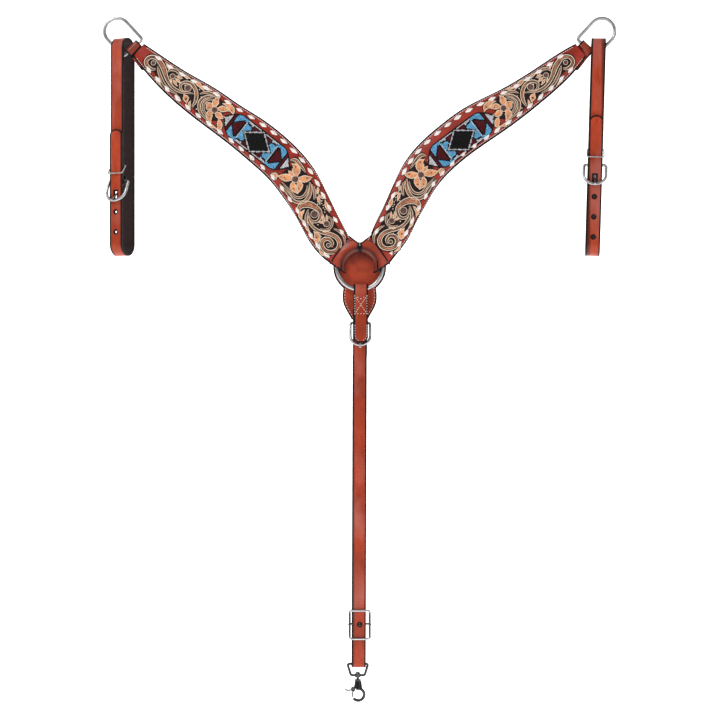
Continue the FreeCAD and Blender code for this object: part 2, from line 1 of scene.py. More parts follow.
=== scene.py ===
"""Looks of the western breast collar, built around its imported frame."""
import bmesh
import bpy
import math
import random
import numpy as np
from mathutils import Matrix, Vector
from mathutils.bvhtree import BVHTree


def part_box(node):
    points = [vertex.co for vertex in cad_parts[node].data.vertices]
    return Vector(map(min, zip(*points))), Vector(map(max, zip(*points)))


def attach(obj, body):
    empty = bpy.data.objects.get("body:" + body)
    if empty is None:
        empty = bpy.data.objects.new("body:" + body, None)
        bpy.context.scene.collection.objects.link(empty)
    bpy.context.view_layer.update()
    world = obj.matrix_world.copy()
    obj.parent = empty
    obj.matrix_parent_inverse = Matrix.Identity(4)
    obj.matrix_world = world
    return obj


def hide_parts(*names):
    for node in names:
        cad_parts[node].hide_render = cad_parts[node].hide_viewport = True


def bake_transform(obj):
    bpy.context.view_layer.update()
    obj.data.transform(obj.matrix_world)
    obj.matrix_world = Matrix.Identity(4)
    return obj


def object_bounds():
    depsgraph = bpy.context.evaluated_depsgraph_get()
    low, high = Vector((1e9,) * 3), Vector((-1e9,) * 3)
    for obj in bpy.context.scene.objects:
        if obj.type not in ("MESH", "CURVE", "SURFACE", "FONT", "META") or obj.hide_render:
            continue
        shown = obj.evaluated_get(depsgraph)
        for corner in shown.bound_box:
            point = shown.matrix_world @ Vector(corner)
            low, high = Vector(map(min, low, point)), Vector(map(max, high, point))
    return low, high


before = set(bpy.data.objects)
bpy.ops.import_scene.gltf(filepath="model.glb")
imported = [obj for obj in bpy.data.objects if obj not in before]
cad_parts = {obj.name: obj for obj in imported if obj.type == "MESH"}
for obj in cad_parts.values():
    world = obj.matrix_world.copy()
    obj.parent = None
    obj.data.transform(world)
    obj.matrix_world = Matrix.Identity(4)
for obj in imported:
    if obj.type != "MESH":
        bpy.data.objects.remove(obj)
CAD_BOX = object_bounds()
MM = 0.001
SIDES = ("left", "right")

# Colours, as display values from 0 to 255
RUST = (179, 66, 38)
PANEL_RED = (168, 44, 24)
EDGE_BLACK = (26, 13, 15)
FLESH = (50, 27, 27)
# Lighter pink of the painted sheen on the straps
PAINTED_SHEEN = (204, 124, 112)
TAN = (208, 134, 96)
PEACH = (236, 162, 114)
CREAM = (250, 222, 194)
GROUND = (34, 20, 22)
SEED_BROWN = (92, 66, 62)
STAIN = (84, 58, 52)
# Painted shadow tones: on the safe under the loops, and on the ring loops in their slit and under the disc
HUB_SHADOW_TONE = (48, 16, 14)
LOOP_SHADOW_TONE = (44, 16, 14)
LACE_WHITE = (250, 240, 234)
LACE_BRIGHT = (255, 252, 248)
THREAD = (244, 216, 208)
THREAD_WHITE = (250, 236, 228)
BEAD_BLUE = (122, 202, 252)
BEAD_BLACK = (8, 8, 10)
BEAD_MAROON = (104, 14, 26)
BEAD_WHITE = (240, 240, 244)
STEEL = (196, 195, 195)
GUNMETAL = (84, 81, 81)
BRIGHT_PLATE = (214, 212, 212)
STUDIO_WHITE = (250, 250, 250)

# Panel: rounding of its edges, black border, how far in its stitches are, their pitch and length, how far
# from its two ends they keep, and the rows of its mesh
EDGE_ROUND = 1.2
BORDER = 2.5
STITCH_IN = 3.8
STITCH_PITCH = 4.2
STITCH_LONG = STITCH_PITCH * 0.72
STITCH_FIRST = 8.0
STITCH_LAST = 6.0
ROWS = 300

# Lace crossing: least and greatest length and width, how far it leans and how much that varies, section as
# (across, rise), height of its dome and of its whole, how far past its ends its slits are, and how far the
# first crossings spread outwards, over the first stretch of the panel
LACE_LONG = (14.2, 15.2)
LACE_WIDE = (6.4, 7.2)
LACE_LEAN = 0.10
LACE_LEAN_VARIES = 0.06
LACE_SECTION = [(-1, -0.4), (-0.86, 0.5), (-0.45, 0.92), (0, 1.0), (0.45, 0.92), (0.86, 0.5), (1, -0.4)]
LACE_DOME = 1.25
LACE_LIFT = 0.65
SLIT_GAP = 0.6
LACE_SPREAD = 2.0
LACE_SPREAD_LONG = 60.0

# Straps: half their width, the black rim along their edges, the sharpest angle within one surface and
# within one flat face in degrees, and the widest that a leather's edge is
STRAP_HALF = 12.5
RIM = 2.7
SHARP = 35
FLAT = 0.6
EDGE_WIDEST = 4.4

# Tie-down: how far off its level an end face may be, how far apart the corners to join may be, and the
# step between the cuts across the mesh at its crease, five each way
END_SLACK = 0.3
JOIN = 0.05
CREASE_STEP = 1.6

# How far each tug strap is turned about Z, in degrees
TUG_TURN = {"left": -24, "right": -6}

# Stitches of the safe, how far in they are, and of the connector: pitch, length and radius in metres. Then
# the heights of the connector's box seam and of the top of the rows by its tip, in millimetres
SAFE_SEAM = (5.2 * MM, 3.1 * MM, 0.62 * MM)
SAFE_SEAM_IN = 4.0
SEAM = (3.6 * MM, 2.4 * MM, 0.55 * MM)
BOX_SEAM = (-51, -82)
TIP_SEAM_TOP = -103

# Turns of thread per metre
THREAD_TWIST = 900

# Round the centre ring, in millimetres from its middle: the radius where the tooled faces end, the ring of
# painted shadow by the disc, the painted shade in the slit between the loops (its height, and how fast it
# fades per millimetre across and down), and the heights of the safe's painted shadow, with its streaks'
# length
ARC_R = 48.6
DISC_SHADOW = (33.5, 38.5)
SLIT_Z = 30.0
SLIT_ACROSS = 0.12
SLIT_DOWN = 0.07
HUB_SHADOW_SPAN = (14.0, 42.0)
HUB_STREAK = 22.0

# Bead field: the beads' pitch, radius, height above the face, how much each one strays, their profile, the
# margin round them and the radius of the rolled border, how far the pointed ends reach in, and how the
# shoulders are rounded (further in by SHOULDER_IN, from SHOULDER_AT of the half width)
BEAD_PITCH = 1.72
BEAD_R = 0.84
BEAD_LIFT = 0.95
BEAD_STRAY = 0.09
BEAD_MARGIN = 1.7
BORDER_R = 1.0
BARREL = [(-0.9, 0.62), (-0.45, 0.97), (0.45, 0.97), (0.9, 0.62)]
INLAY_CLIP = 22.0
SHOULDER_IN = 6.0
SHOULDER_AT = 0.8


# CAD meshes: how far apart split corners to weld may be, and how far off its level a flat outline may be
WELD = 0.002
LEVEL_SLACK = 0.01


def linear(colour):
    """Display values from 0 to 255 as linear light, with alpha."""
    out = []
    for value in colour:
        v = value / 255
        out.append(v / 12.92 if v <= 0.04045 else ((v + 0.055) / 1.055) ** 2.4)
    return (*out, 1.0)


# ---------------------------------------------------------------- materials

class Shader:
    """One principled material, with short calls for the nodes that feed it."""

    def __init__(self, name, roughness=0.5, metallic=0.0, coat=0.0, coat_roughness=0.2, specular=0.5):
        self.material = bpy.data.materials.new(name)
        self.material.use_nodes = True
        self.tree = self.material.node_tree
        self.base = self.tree.nodes["Principled BSDF"]
        self.base.inputs["Roughness"].default_value = roughness
        self.base.inputs["Metallic"].default_value = metallic
        self.base.inputs["Coat Weight"].default_value = coat
        self.base.inputs["Coat Roughness"].default_value = coat_roughness
        self.base.inputs["Specular IOR Level"].default_value = specular
        coords = self.tree.nodes.new("ShaderNodeTexCoord")
        self.place = coords.outputs["Object"]
        self.normal = coords.outputs["Normal"]

    def link(self, source, target):
        self.tree.links.new(source, target)

    def stretch(self, scale, turn=(0, 0, 0)):
        """Object coordinates turned, then scaled, for grain that runs one way."""
        node = self.tree.nodes.new("ShaderNodeMapping")
        node.inputs["Scale"].default_value = scale
        node.inputs["Rotation"].default_value = turn
        self.link(self.place, node.inputs["Vector"])
        return node.outputs["Vector"]

    def noise(self, size, detail=4.0, rough=0.55, place=None):
        """Noise whose features are about size millimetres."""
        node = self.tree.nodes.new("ShaderNodeTexNoise")
        node.inputs["Scale"].default_value = 1 / (size * MM)
        node.inputs["Detail"].default_value = detail
        node.inputs["Roughness"].default_value = rough
        self.link(place or self.place, node.inputs["Vector"])
        return node.outputs["Fac"]

    def cells(self, size):
        """Round-edged cells about size millimetres across."""
        node = self.tree.nodes.new("ShaderNodeTexVoronoi")
        node.feature = "SMOOTH_F1"
        node.inputs["Scale"].default_value = 1 / (size * MM)
        self.link(self.place, node.inputs["Vector"])
        return node.outputs["Distance"]

    def ramp(self, source, stops):
        """Colours along a value; stops are (position, colour) pairs."""
        node = self.tree.nodes.new("ShaderNodeValToRGB")
        band = node.color_ramp
        while len(band.elements) < len(stops):
            band.elements.new(0.5)
        for element, (position, colour) in zip(band.elements, stops):
            element.position = position
            element.color = linear(colour)
        self.link(source, node.inputs["Fac"])
        return node.outputs["Color"]

    def span(self, source, low, high, to_low, to_high):
        """A value moved from one range to another."""
        node = self.tree.nodes.new("ShaderNodeMapRange")
        limits = {"From Min": low, "From Max": high, "To Min": to_low, "To Max": to_high}
        for socket, limit in limits.items():
            node.inputs[socket].default_value = limit
        self.link(source, node.inputs["Value"])
        return node.outputs["Result"]

    def mix(self, share, first, second):
        """Two colours mixed by a value; each is a socket or display values."""
        node = self.tree.nodes.new("ShaderNodeMix")
        node.data_type = "RGBA"
        self.link(share, node.inputs[0])
        for socket, value in ((node.inputs[6], first), (node.inputs[7], second)):
            if isinstance(value, tuple):
                socket.default_value = linear(value)
            else:
                self.link(value, socket)
        return node.outputs[2]

    def tones(self, source, colour, *stops):
        """Shades of one colour along a value; stops are (position, brightness) pairs."""
        return self.ramp(source, [(position, shade(colour, factor)) for position, factor in stops])

    def axes(self, vector=None):
        """The three parts of a vector, which is the place in millimetres unless one is given."""
        node = self.tree.nodes.new("ShaderNodeSeparateXYZ")
        self.link(vector or self.stretch((1 / MM, 1 / MM, 1 / MM)), node.inputs["Vector"])
        return node.outputs["X"], node.outputs["Y"], node.outputs["Z"]

    def math(self, kind, first, second=None):
        """One sum on values or numbers."""
        node = self.tree.nodes.new("ShaderNodeMath")
        node.operation = kind
        for socket, value in zip(node.inputs, (first, second)):
            if value is None:
                continue
            if isinstance(value, (int, float)):
                socket.default_value = value
            else:
                self.link(value, socket)
        return node.outputs[0]

    def away(self, value, middle):
        """How far a value is from a number."""
        return self.math("ABSOLUTE", self.math("SUBTRACT", value, middle))

    def bump(self, height, strength, depth):
        """Bump, depth in millimetres, added on top of any earlier bump."""
        node = self.tree.nodes.new("ShaderNodeBump")
        node.inputs["Strength"].default_value = strength
        node.inputs["Distance"].default_value = depth * MM
        self.link(height, node.inputs["Height"])
        socket = self.base.inputs["Normal"]
        if socket.is_linked:
            self.link(socket.links[0].from_socket, node.inputs["Normal"])
        self.link(node.outputs["Normal"], socket)

    def colour(self, source):
        self.link(source, self.base.inputs["Base Color"])

    def rough(self, source, low, high):
        """Roughness that varies between two values with a noise."""
        self.link(self.span(source, 0.3, 0.7, low, high), self.base.inputs["Roughness"])

    def hide_grain(self, grain=1.0, depth=0.25):
        """Pores, fine wrinkles and soft folds."""
        self.bump(self.cells(0.9 * grain), 0.25, depth * 0.4)
        self.bump(self.noise(1.3 * grain, 5, 0.6), 0.35, depth)
        self.bump(self.noise(14 * grain, 2), 0.3, depth * 2.0)


def shade(colour, factor):
    """A darker or lighter version of a colour."""
    return tuple(min(255, v * factor) for v in colour)


def leather(name, colour, gloss=0.42, grain=1.0, depth=0.25, coat=0.14, specular=0.35):
    """Dyed leather: uneven dye, pores and fine wrinkles, and a waxed shine that varies."""
    s = Shader(name, gloss, coat=coat, coat_roughness=0.28, specular=specular)
    dye = s.tones(s.noise(26 * grain, 5), colour, (0.28, 0.80), (0.50, 1.0), (0.74, 1.13))
    fine = s.noise(2.2 * grain, 6, 0.65)
    s.colour(s.mix(s.span(fine, 0.35, 0.7, 0.0, 0.35), dye, shade(colour, 0.72)))
    s.rough(s.noise(9 * grain, 3), gloss - 0.07, gloss + 0.12)
    s.hide_grain(grain, depth)
    return s.material


def strap_leather(name, turn=0.0, middle=0.0):
    """Strap leather with a painted sheen in lighter pinkish patches and fibres along it, darker and creased
    beside its edges.

    turn is the strap's turn about Z, and middle is where its centre line lies across, in millimetres.
    """
    s = Shader(name, 0.38, coat=0.10, coat_roughness=0.2, specular=0.2)
    across, _, _ = s.axes(s.stretch((1 / MM, 1 / MM, 1 / MM), (0, 0, -turn)))
    far = s.away(across, middle)
    cloud = s.noise(30, 5, place=s.stretch((1, 1, 0.35)))
    dye = s.tones(cloud, RUST, (0.28, 0.80), (0.5, 1.0), (0.72, 1.16))
    dye = s.mix(s.span(s.noise(1.6, 6, 0.65), 0.35, 0.7, 0.0, 0.3), dye, shade(RUST, 0.74))
    fibres = s.noise(1.3, 5, 0.7, place=s.stretch((1, 1, 0.12)))
    dye = s.mix(s.span(fibres, 0.42, 0.68, 0.0, 0.4), dye, shade(RUST, 0.66))
    # painted sheen: lighter pinkish patches that stand in for the gloss of the lamp
    painted_sheen = s.noise(52, 3, place=s.stretch((1, 1, 0.5)))
    dye = s.mix(s.span(painted_sheen, 0.46, 0.66, 0.0, 0.42), dye, PAINTED_SHEEN)
    dye = s.mix(s.span(far, STRAP_HALF - 3.8, STRAP_HALF - 0.6, 0.0, 0.85), dye, shade(RUST, 0.42))
    crease = s.span(s.away(far, STRAP_HALF - 3.0), 0.0, 0.5, 1.0, 0.0)
    s.colour(s.mix(s.math("MULTIPLY", crease, 0.5), dye, shade(RUST, 0.4)))
    s.rough(s.noise(9, 3, place=s.stretch((1, 1, 0.3))), 0.26, 0.5)
    s.bump(s.cells(0.8), 0.2, 0.08)
    s.bump(s.noise(1.1, 5, 0.6), 0.3, 0.2)
    s.bump(s.noise(16, 2), 0.3, 0.5)
    s.bump(s.math("SUBTRACT", 1.0, crease), 0.6, 0.35)
    return s.material


def hub_leather(name):
    """The safe and the chape: rust leather with painted shadow in streaks, darker towards its top under the
    ring loops.
    """
    s = Shader(name, 0.4, coat=0.14, coat_roughness=0.22, specular=0.35)
    dye = s.tones(s.noise(22, 5), RUST, (0.28, 0.82), (0.5, 1.0), (0.74, 1.12))
    _, _, height = s.axes()
    # painted shadow of the ring loops on the safe: darker towards its top, with a streaked edge
    streaks = s.math("MULTIPLY", s.noise(2.4, 4, 0.7, s.stretch((1, 1, 0.18))), HUB_STREAK)
    painted_shadow = s.span(s.math("ADD", height, streaks), *HUB_SHADOW_SPAN, 0.0, 0.95)
    s.colour(s.mix(painted_shadow, dye, HUB_SHADOW_TONE))
    s.rough(s.noise(9, 3), 0.32, 0.5)
    s.hide_grain()
    return s.material


def loop_leather(name):
    """The plain bands round the centre ring, and past a dark arc the red of the tooled panels.

    They carry painted shadow where they dive under the disc, and painted shade in the slit where the two
    bands meet.
    """
    s = Shader(name, 0.34, coat=0.25, coat_roughness=0.2, specular=0.4)
    x, _, z = s.axes()
    far = s.math("SQRT", s.math("ADD", s.math("MULTIPLY", x, x), s.math("MULTIPLY", z, z)))
    dye = s.tones(s.noise(20, 5), RUST, (0.28, 0.74), (0.5, 0.92), (0.74, 1.05))
    dye = s.mix(s.span(far, ARC_R + 0.9, ARC_R + 1.3, 0.0, 1.0), dye, PANEL_RED)
    line = s.span(s.away(far, ARC_R), 0.6, 1.3, 1.0, 0.0)
    # painted shade in the slit where the two bands meet, and painted shadow where they go under the disc
    slit = s.math("ADD", s.math("MULTIPLY", s.math("ABSOLUTE", x), SLIT_ACROSS),
                  s.math("MULTIPLY", s.away(z, SLIT_Z), SLIT_DOWN))
    painted_shadow = s.span(slit, 0.8, 1.4, 0.95, 0.0)
    under = s.span(far, *DISC_SHADOW, 0.7, 0.0)
    dye = s.mix(s.math("MAXIMUM", painted_shadow, under), dye, LOOP_SHADOW_TONE)
    s.colour(s.mix(line, dye, shade(GROUND, 0.8)))
    s.rough(s.noise(8, 3), 0.26, 0.46)
    s.bump(s.math("SUBTRACT", 1.0, line), 0.5, 0.4)
    s.bump(s.noise(1.3, 5, 0.6), 0.35, 0.22)
    s.bump(s.noise(14, 2), 0.3, 0.5)
    return s.material


def steel(name, colour, roughness, tarnish, painted_dark_span=None):
    """Polished wire: tarnished dark in patches, with painted reflection that keeps it bright where it faces
    front and back and dark at its sides.

    The last argument is the lowest and highest place, in millimetres, between which the metal is painted
    dark as a painted reflection.
    """
    s = Shader(name, roughness, metallic=1.0)
    shine = s.mix(s.span(s.noise(6, 4), 0.42, 0.7, 0.0, tarnish), colour, shade(colour, 0.4))
    # painted reflection: darker where the surface turns away from facing front or back
    _, turned, _ = s.axes(s.normal)
    front = s.math("ABSOLUTE", turned)
    shine = s.mix(s.span(front, 0.35, 0.85, 0.85, 0.0), shine, shade(colour, 0.25))
    # painted reflection: the metal between these heights painted near black
    if painted_dark_span:
        low, high = painted_dark_span
        reach = (high - low) / 2
        _, _, height = s.axes()
        painted_dark_sides = s.span(s.away(height, (low + high) / 2), reach - 3.0, reach, 0.9, 0.0)
        shine = s.mix(painted_dark_sides, shine, shade(colour, 0.16))
    s.colour(shine)
    marks = s.noise(0.8, 3, 0.7, s.stretch((1, 0.2, 1)))
    s.rough(marks, roughness * 0.7, roughness * 1.5)
    s.bump(marks, 0.08, 0.04)
    s.bump(s.noise(4.5, 2), 0.12, 0.15)
    return s.material


def bead_glass(name, colour):
    """Small glass beads, each with its own slight shade."""
    s = Shader(name, 0.2, coat=0.12, coat_roughness=0.08, specular=0.25)
    s.colour(s.tones(s.noise(BEAD_PITCH * 1.1, 1), colour, (0.3, 0.72), (0.55, 1.0), (0.8, 1.18)))
    s.rough(s.noise(0.9, 2), 0.08, 0.24)
    return s.material


def tooled(name, colour, dark, size=3.0, stain=0.0):
    """Carved and antiqued leather: a darker wash settles in its grain, and stain clouds whole patches."""
    s = Shader(name, 0.5, coat=0.08, coat_roughness=0.3, specular=0.3)
    wash = s.noise(size, 5, 0.6)
    dye = s.ramp(wash, [(0.30, dark), (0.48, colour), (0.75, shade(colour, 1.08))])
    s.colour(s.mix(s.span(s.noise(11, 3), 0.42, 0.62, 0.0, stain), dye, STAIN))
    s.rough(wash, 0.56, 0.36)
    s.bump(s.noise(0.9, 5, 0.65), 0.4, 0.18)
    s.bump(wash, 0.3, 0.25)
    return s.material


def stamped(name, colour):
    """Background stamped with fine round dimples."""
    s = Shader(name, 0.65, specular=0.2)
    pits = s.cells(1.25)
    # painted shade in the dimples and painted highlight on the rims between them
    s.colour(s.tones(pits, colour, (0.05, 0.4), (0.40, 1.0), (0.75, 1.5)))
    s.bump(pits, 0.9, 0.5)
    return s.material


def thread(name, colour):
    """Waxed thread, twisted."""
    s = Shader(name, 0.5, coat=0.15)
    twist = s.tree.nodes.new("ShaderNodeTexWave")
    twist.inputs["Scale"].default_value = THREAD_TWIST
    twist.bands_direction = "DIAGONAL"
    s.link(s.place, twist.inputs["Vector"])
    # painted shade: darker in the grooves of the twist
    s.colour(s.mix(s.span(twist.outputs["Fac"], 0.2, 0.8, 0.35, 0.0), colour, shade(colour, 0.6)))
    s.bump(twist.outputs["Fac"], 0.5, 0.12)
    return s.material


def lace_hide(name):
    """Soft white lace, faintly creased along and a little soiled."""
    s = Shader(name, 0.48, coat=0.15)
    stops = [(0.28, shade(LACE_WHITE, 0.86)), (0.5, LACE_WHITE), (0.8, LACE_BRIGHT)]
    s.colour(s.ramp(s.noise(5, 5), stops))
    s.bump(s.noise(1.2, 5, 0.6), 0.45, 0.22)
    return s.material


def studio(name, colour, size):
    """Pale matt surface with hardly any mottling, glowing a little, and clear from its back."""
    s = Shader(name, 0.9, specular=0.1)
    paint = s.tones(s.noise(size, 2), colour, (0.3, 0.985), (0.7, 1.0))
    s.colour(paint)
    s.link(paint, s.base.inputs["Emission Color"])
    s.base.inputs["Emission Strength"].default_value = 0.85
    facing = s.tree.nodes.new("ShaderNodeNewGeometry")
    clear = s.tree.nodes.new("ShaderNodeBsdfTransparent")
    either = s.tree.nodes.new("ShaderNodeMixShader")
    s.link(facing.outputs["Backfacing"], either.inputs[0])
    s.link(s.base.outputs[0], either.inputs[1])
    s.link(clear.outputs[0], either.inputs[2])
    s.link(either.outputs[0], s.tree.nodes["Material Output"].inputs["Surface"])
    return s.material


def conway_sides():
    """The heights, in millimetres, between which the Conway buckle has its side wires."""
    low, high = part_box("conway_buckle_frame")
    return low.z / MM + 3.0, high.z / MM - 3.0


MAT = {
    "red": leather("panel_leather", PANEL_RED, 0.40),
    "loop": leather("end_loop_leather", shade(RUST, 0.88), 0.34, 1.2, 0.2, 0.4),
    "ring_loop": loop_leather("ring_loop_leather"),
    "hub": hub_leather("hub_leather"),
    "edge": leather("edge_paint", EDGE_BLACK, 0.6, 0.7, 0.12, 0.0, 0.2),
    "flesh": leather("flesh_side", FLESH, 0.62, 0.8, 0.4, 0.0),
    "tie": strap_leather("tie_down_leather"),
    "connector": strap_leather("connector_leather", 0.0, 2.0),
    "tan": tooled("tooled_tan", TAN, shade(TAN, 0.62), 3.0, 0.75),
    "peach": tooled("tooled_peach", PEACH, shade(PEACH, 0.74), 3.0, 0.25),
    "cream": tooled("tooled_cream", CREAM, shade(CREAM, 0.84), 1.6),
    "ground": stamped("stamped_ground", GROUND),
    "seed": stamped("stamped_seed", SEED_BROWN),
    "groove": leather("carved_groove", shade(GROUND, 0.7), 0.55, 0.5, 0.2, 0.0),
    "lace": lace_hide("lace_hide"),
    "thread": thread("thread_pink", THREAD),
    "thread_white": thread("thread_white", THREAD_WHITE),
    "steel": steel("bright_steel_wire", STEEL, 0.26, 0.35),
    "nickel": steel("nickel_plate", GUNMETAL, 0.2, 0.8),
    "conway": steel("conway_plate", BRIGHT_PLATE, 0.22, 0.3, conway_sides()),
    "bead_blue": bead_glass("bead_blue", BEAD_BLUE),
    "bead_black": bead_glass("bead_black", BEAD_BLACK),
    "bead_maroon": bead_glass("bead_maroon", BEAD_MAROON),
    "bead_white": bead_glass("bead_white", BEAD_WHITE),
}


# ---------------------------------------------------------------- mesh helpers

def make_object(name, bm, materials, smooth=True, weighted=False):
    """A scene object from a finished bmesh, which is freed; materials are keys of MAT."""
    mesh = bpy.data.meshes.new(name)
    bm.to_mesh(mesh)
    bm.free()
    for key in materials:
        mesh.materials.append(MAT[key])
    for polygon in mesh.polygons:
        polygon.use_smooth = smooth
    piece = bpy.data.objects.new(name, mesh)
    bpy.context.scene.collection.objects.link(piece)
    if weighted:
        modifier = piece.modifiers.new("weighted", "WEIGHTED_NORMAL")
        modifier.weight = 80
    return piece


def finish_piece(piece, body, slot, *nodes):
    """Fasten a piece to its body and hide the CAD nodes that it stands for."""
    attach(piece, body)
    if nodes:
        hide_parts(*nodes)


def add_piece(name, bm, materials, body, slot, nodes=(), smooth=True):
    """A piece from a bmesh of new faces, turned outwards, fastened to its body."""
    bmesh.ops.recalc_face_normals(bm, faces=bm.faces)
    finish_piece(make_object(name, bm, materials, smooth), body, slot, *nodes)


def groups(items, neighbours):
    """Items gathered into groups that hang together; neighbours gives the items next to one."""
    seen = set()
    found = []
    for item in items:
        if item in seen:
            continue
        seen.add(item)
        stack, group = [item], []
        while stack:
            here = stack.pop()
            group.append(here)
            for other in neighbours(here):
                if other not in seen:
                    seen.add(other)
                    stack.append(other)
        found.append(group)
    return found


def merged(*nodes):
    """One bmesh of CAD nodes' meshes with their split vertices joined."""
    bm = bmesh.new()
    for node in nodes:
        bm.from_mesh(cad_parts[node].data)
    bmesh.ops.remove_doubles(bm, verts=bm.verts, dist=WELD * MM)
    return bm


def resample(points, count):
    """Evenly spaced points along a polyline."""
    points = np.array(points, float)
    run = np.r_[0, np.cumsum(np.linalg.norm(np.diff(points, axis=0), axis=1))]
    at = np.linspace(0, run[-1], count)
    return np.stack([np.interp(at, run, points[:, k]) for k in range(points.shape[1])], 1)


def plan_loop(node, side):
    """The outline of a flat node's front (side 0) or back (side 1) face, as (x, z) in order, metres."""
    bm = merged(node)
    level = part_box(node)[side].y
    after = {}
    for edge in bm.edges:
        if any(abs(v.co.y - level) > LEVEL_SLACK * MM for v in edge.verts):
            continue
        if sum(abs(face.normal.y) > 0.9 for face in edge.link_faces) != 1:
            continue
        a, b = edge.verts
        after.setdefault(a.index, []).append(b.index)
        after.setdefault(b.index, []).append(a.index)
    places = {v.index: (v.co.x, v.co.z) for v in bm.verts}
    bm.free()
    start = next(iter(after))
    order = [start]
    here, before = after[start][0], start
    while here != start:
        order.append(here)
        here, before = [n for n in after[here] if n != before][0], here
    return np.array([places[i] for i in order])


def edge_chains(node):
    """The two long edges of a panel between its four corners, upper first, from the outer end inwards."""
    loop = plan_loop(node, 1)
    count = len(loop)
    before = loop - np.roll(loop, 1, 0)
    following = np.roll(loop, -1, 0) - loop
    turn = np.abs(np.angle(np.exp(1j * (np.arctan2(following[:, 1], following[:, 0])
                                        - np.arctan2(before[:, 1], before[:, 0])))))
    corners = sorted(np.argsort(turn)[-4:])
    chains = []
    for i, corner in enumerate(corners):
        end = corners[(i + 1) % 4]
        size = (end - corner) % count
        chains.append(np.array([loop[(corner + k) % count] for k in range(size + 1)]))
    chains.sort(key=len)
    edges = sorted(chains[-2:], key=lambda chain: -chain[:, 1].mean())
    return [edge if abs(edge[0, 0]) > abs(edge[-1, 0]) else edge[::-1] for edge in edges]


class Panel:
    """A panel's plan, with places on it given as (along, across, lift) in millimetres.

    along runs down its middle from the outer end, across is positive towards the upper edge,
    and lift is the height in front of its face.
    """

    def __init__(self, side):
        self.side = side
        upper, lower = edge_chains(side + "_panel_lining")
        self.upper = resample(upper, ROWS)
        self.lower = resample(lower, ROWS)
        self.middle = (self.upper + self.lower) / 2
        step = np.gradient(self.middle, axis=0)
        step /= np.linalg.norm(step, axis=1)[:, None]
        hand = 1 if side == "left" else -1
        self.normal = np.stack([-step[:, 1], step[:, 0]], 1) * hand
        self.run = np.r_[0, np.cumsum(np.linalg.norm(np.diff(self.middle, axis=0), axis=1))] / MM
        self.half = np.linalg.norm(self.upper - self.lower, axis=1) / 2 / MM
        self.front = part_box(side + "_panel_face")[0].y
        self.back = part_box(side + "_panel_lining")[1].y

    def point(self, along, across, lift=0.0):
        """A place on the panel in metres."""
        x, z = (np.interp(along, self.run, self.middle[:, k])
                + np.interp(along, self.run, self.normal[:, k]) * across * MM for k in (0, 1))
        return Vector((x, self.front - lift * MM, z))

    def half_width(self, along):
        """Half the panel's width at a place along it, in millimetres."""
        return np.interp(along, self.run, self.half)

    def locate(self, x, z):
        """(along, across) of a place given in metres."""
        nearest = np.argmin((self.middle[:, 0] - x) ** 2 + (self.middle[:, 1] - z) ** 2)
        across = np.dot(np.array([x, z]) - self.middle[nearest], self.normal[nearest]) / MM
        return self.run[nearest], across


PANELS = {side: Panel(side) for side in SIDES}


def close_strip(bm, rings, closed_section, zones, caps=True):
    """Quads between successive rings of vertices, with capped ends; zones gives each column's material."""
    for first, second in zip(rings, rings[1:]):
        count = len(first)
        for k in range(count if closed_section else count - 1):
            corners = (first[k], first[(k + 1) % count], second[(k + 1) % count], second[k])
            face = bm.faces.new(corners)
            face.material_index = zones[k]
    if caps:
        for ring in (rings[0], rings[-1]):
            face = bm.faces.new(ring)
            face.material_index = zones[0]


def spline(points, per=9):
    """A smooth line through points of any dimension (Catmull-Rom)."""
    points = np.array(points, float)
    padded = np.vstack([2 * points[0] - points[1], points, 2 * points[-1] - points[-2]])
    out = []
    for i in range(1, len(padded) - 2):
        p0, p1, p2, p3 = padded[i - 1:i + 3]
        for k in range(per):
            t = k / per
            out.append(0.5 * (2 * p1 + (p2 - p0) * t + (2 * p0 - 5 * p1 + 4 * p2 - p3) * t * t
                              + (3 * p1 - p0 - 3 * p2 + p3) * t ** 3))
    out.append(points[-1])
    return np.array(out)


# ---------------------------------------------------------------- panels

def panel_section(half):
    """Points around a panel's cross section, (from the middle, depth from the front), with their zones.

    Zones are 0 for the red face, 1 for the black edge and 2 for the lining.
    """
    thick = (PANELS["left"].back - PANELS["left"].front) / MM
    r = EDGE_ROUND
    side = [(half - BORDER - 0.7, 0.0, 0), (half - BORDER - 0.2, 0.4, 1), (half - BORDER + 0.3, 0.1, 1),
            (half - r, 0.0, 1), (half - 0.3 * r, 0.3 * r, 1), (half, r, 1),
            (half, thick / 2 - 0.35, 1), (half - 0.4, thick / 2, 1), (half, thick / 2 + 0.35, 1),
            (half, thick - r, 1), (half - 0.3 * r, thick - 0.3 * r, 1), (half - r, thick, 1),
            (half - 2.5, thick, 2)]
    other = [(-d, y) for d, y, _ in reversed(side)]
    zones = [zone for _, _, zone in side] + [1] * 12 + [0]
    return [(d, y) for d, y, _ in side] + other, zones


def build_panel(panel):
    """The panel's leather body: red face, black burnished edges with the seam, dark lining."""
    bm = bmesh.new()
    rings = []
    for i in range(ROWS):
        middle = panel.middle[i]
        across = (panel.upper[i] - panel.lower[i]) / (2 * panel.half[i] * MM)
        places, zones = panel_section(panel.half[i])
        ring = []
        for d, y in places:
            x, z = middle + across * d * MM
            ring.append(bm.verts.new((x, panel.front + y * MM, z)))
        rings.append(ring)
    close_strip(bm, rings, True, zones)
    add_piece(panel.side + "_panel_leather", bm, ("red", "edge", "flesh"), panel.side + "_panel",
              "tooled_leather", (panel.side + "_panel_face", panel.side + "_panel_lining"))


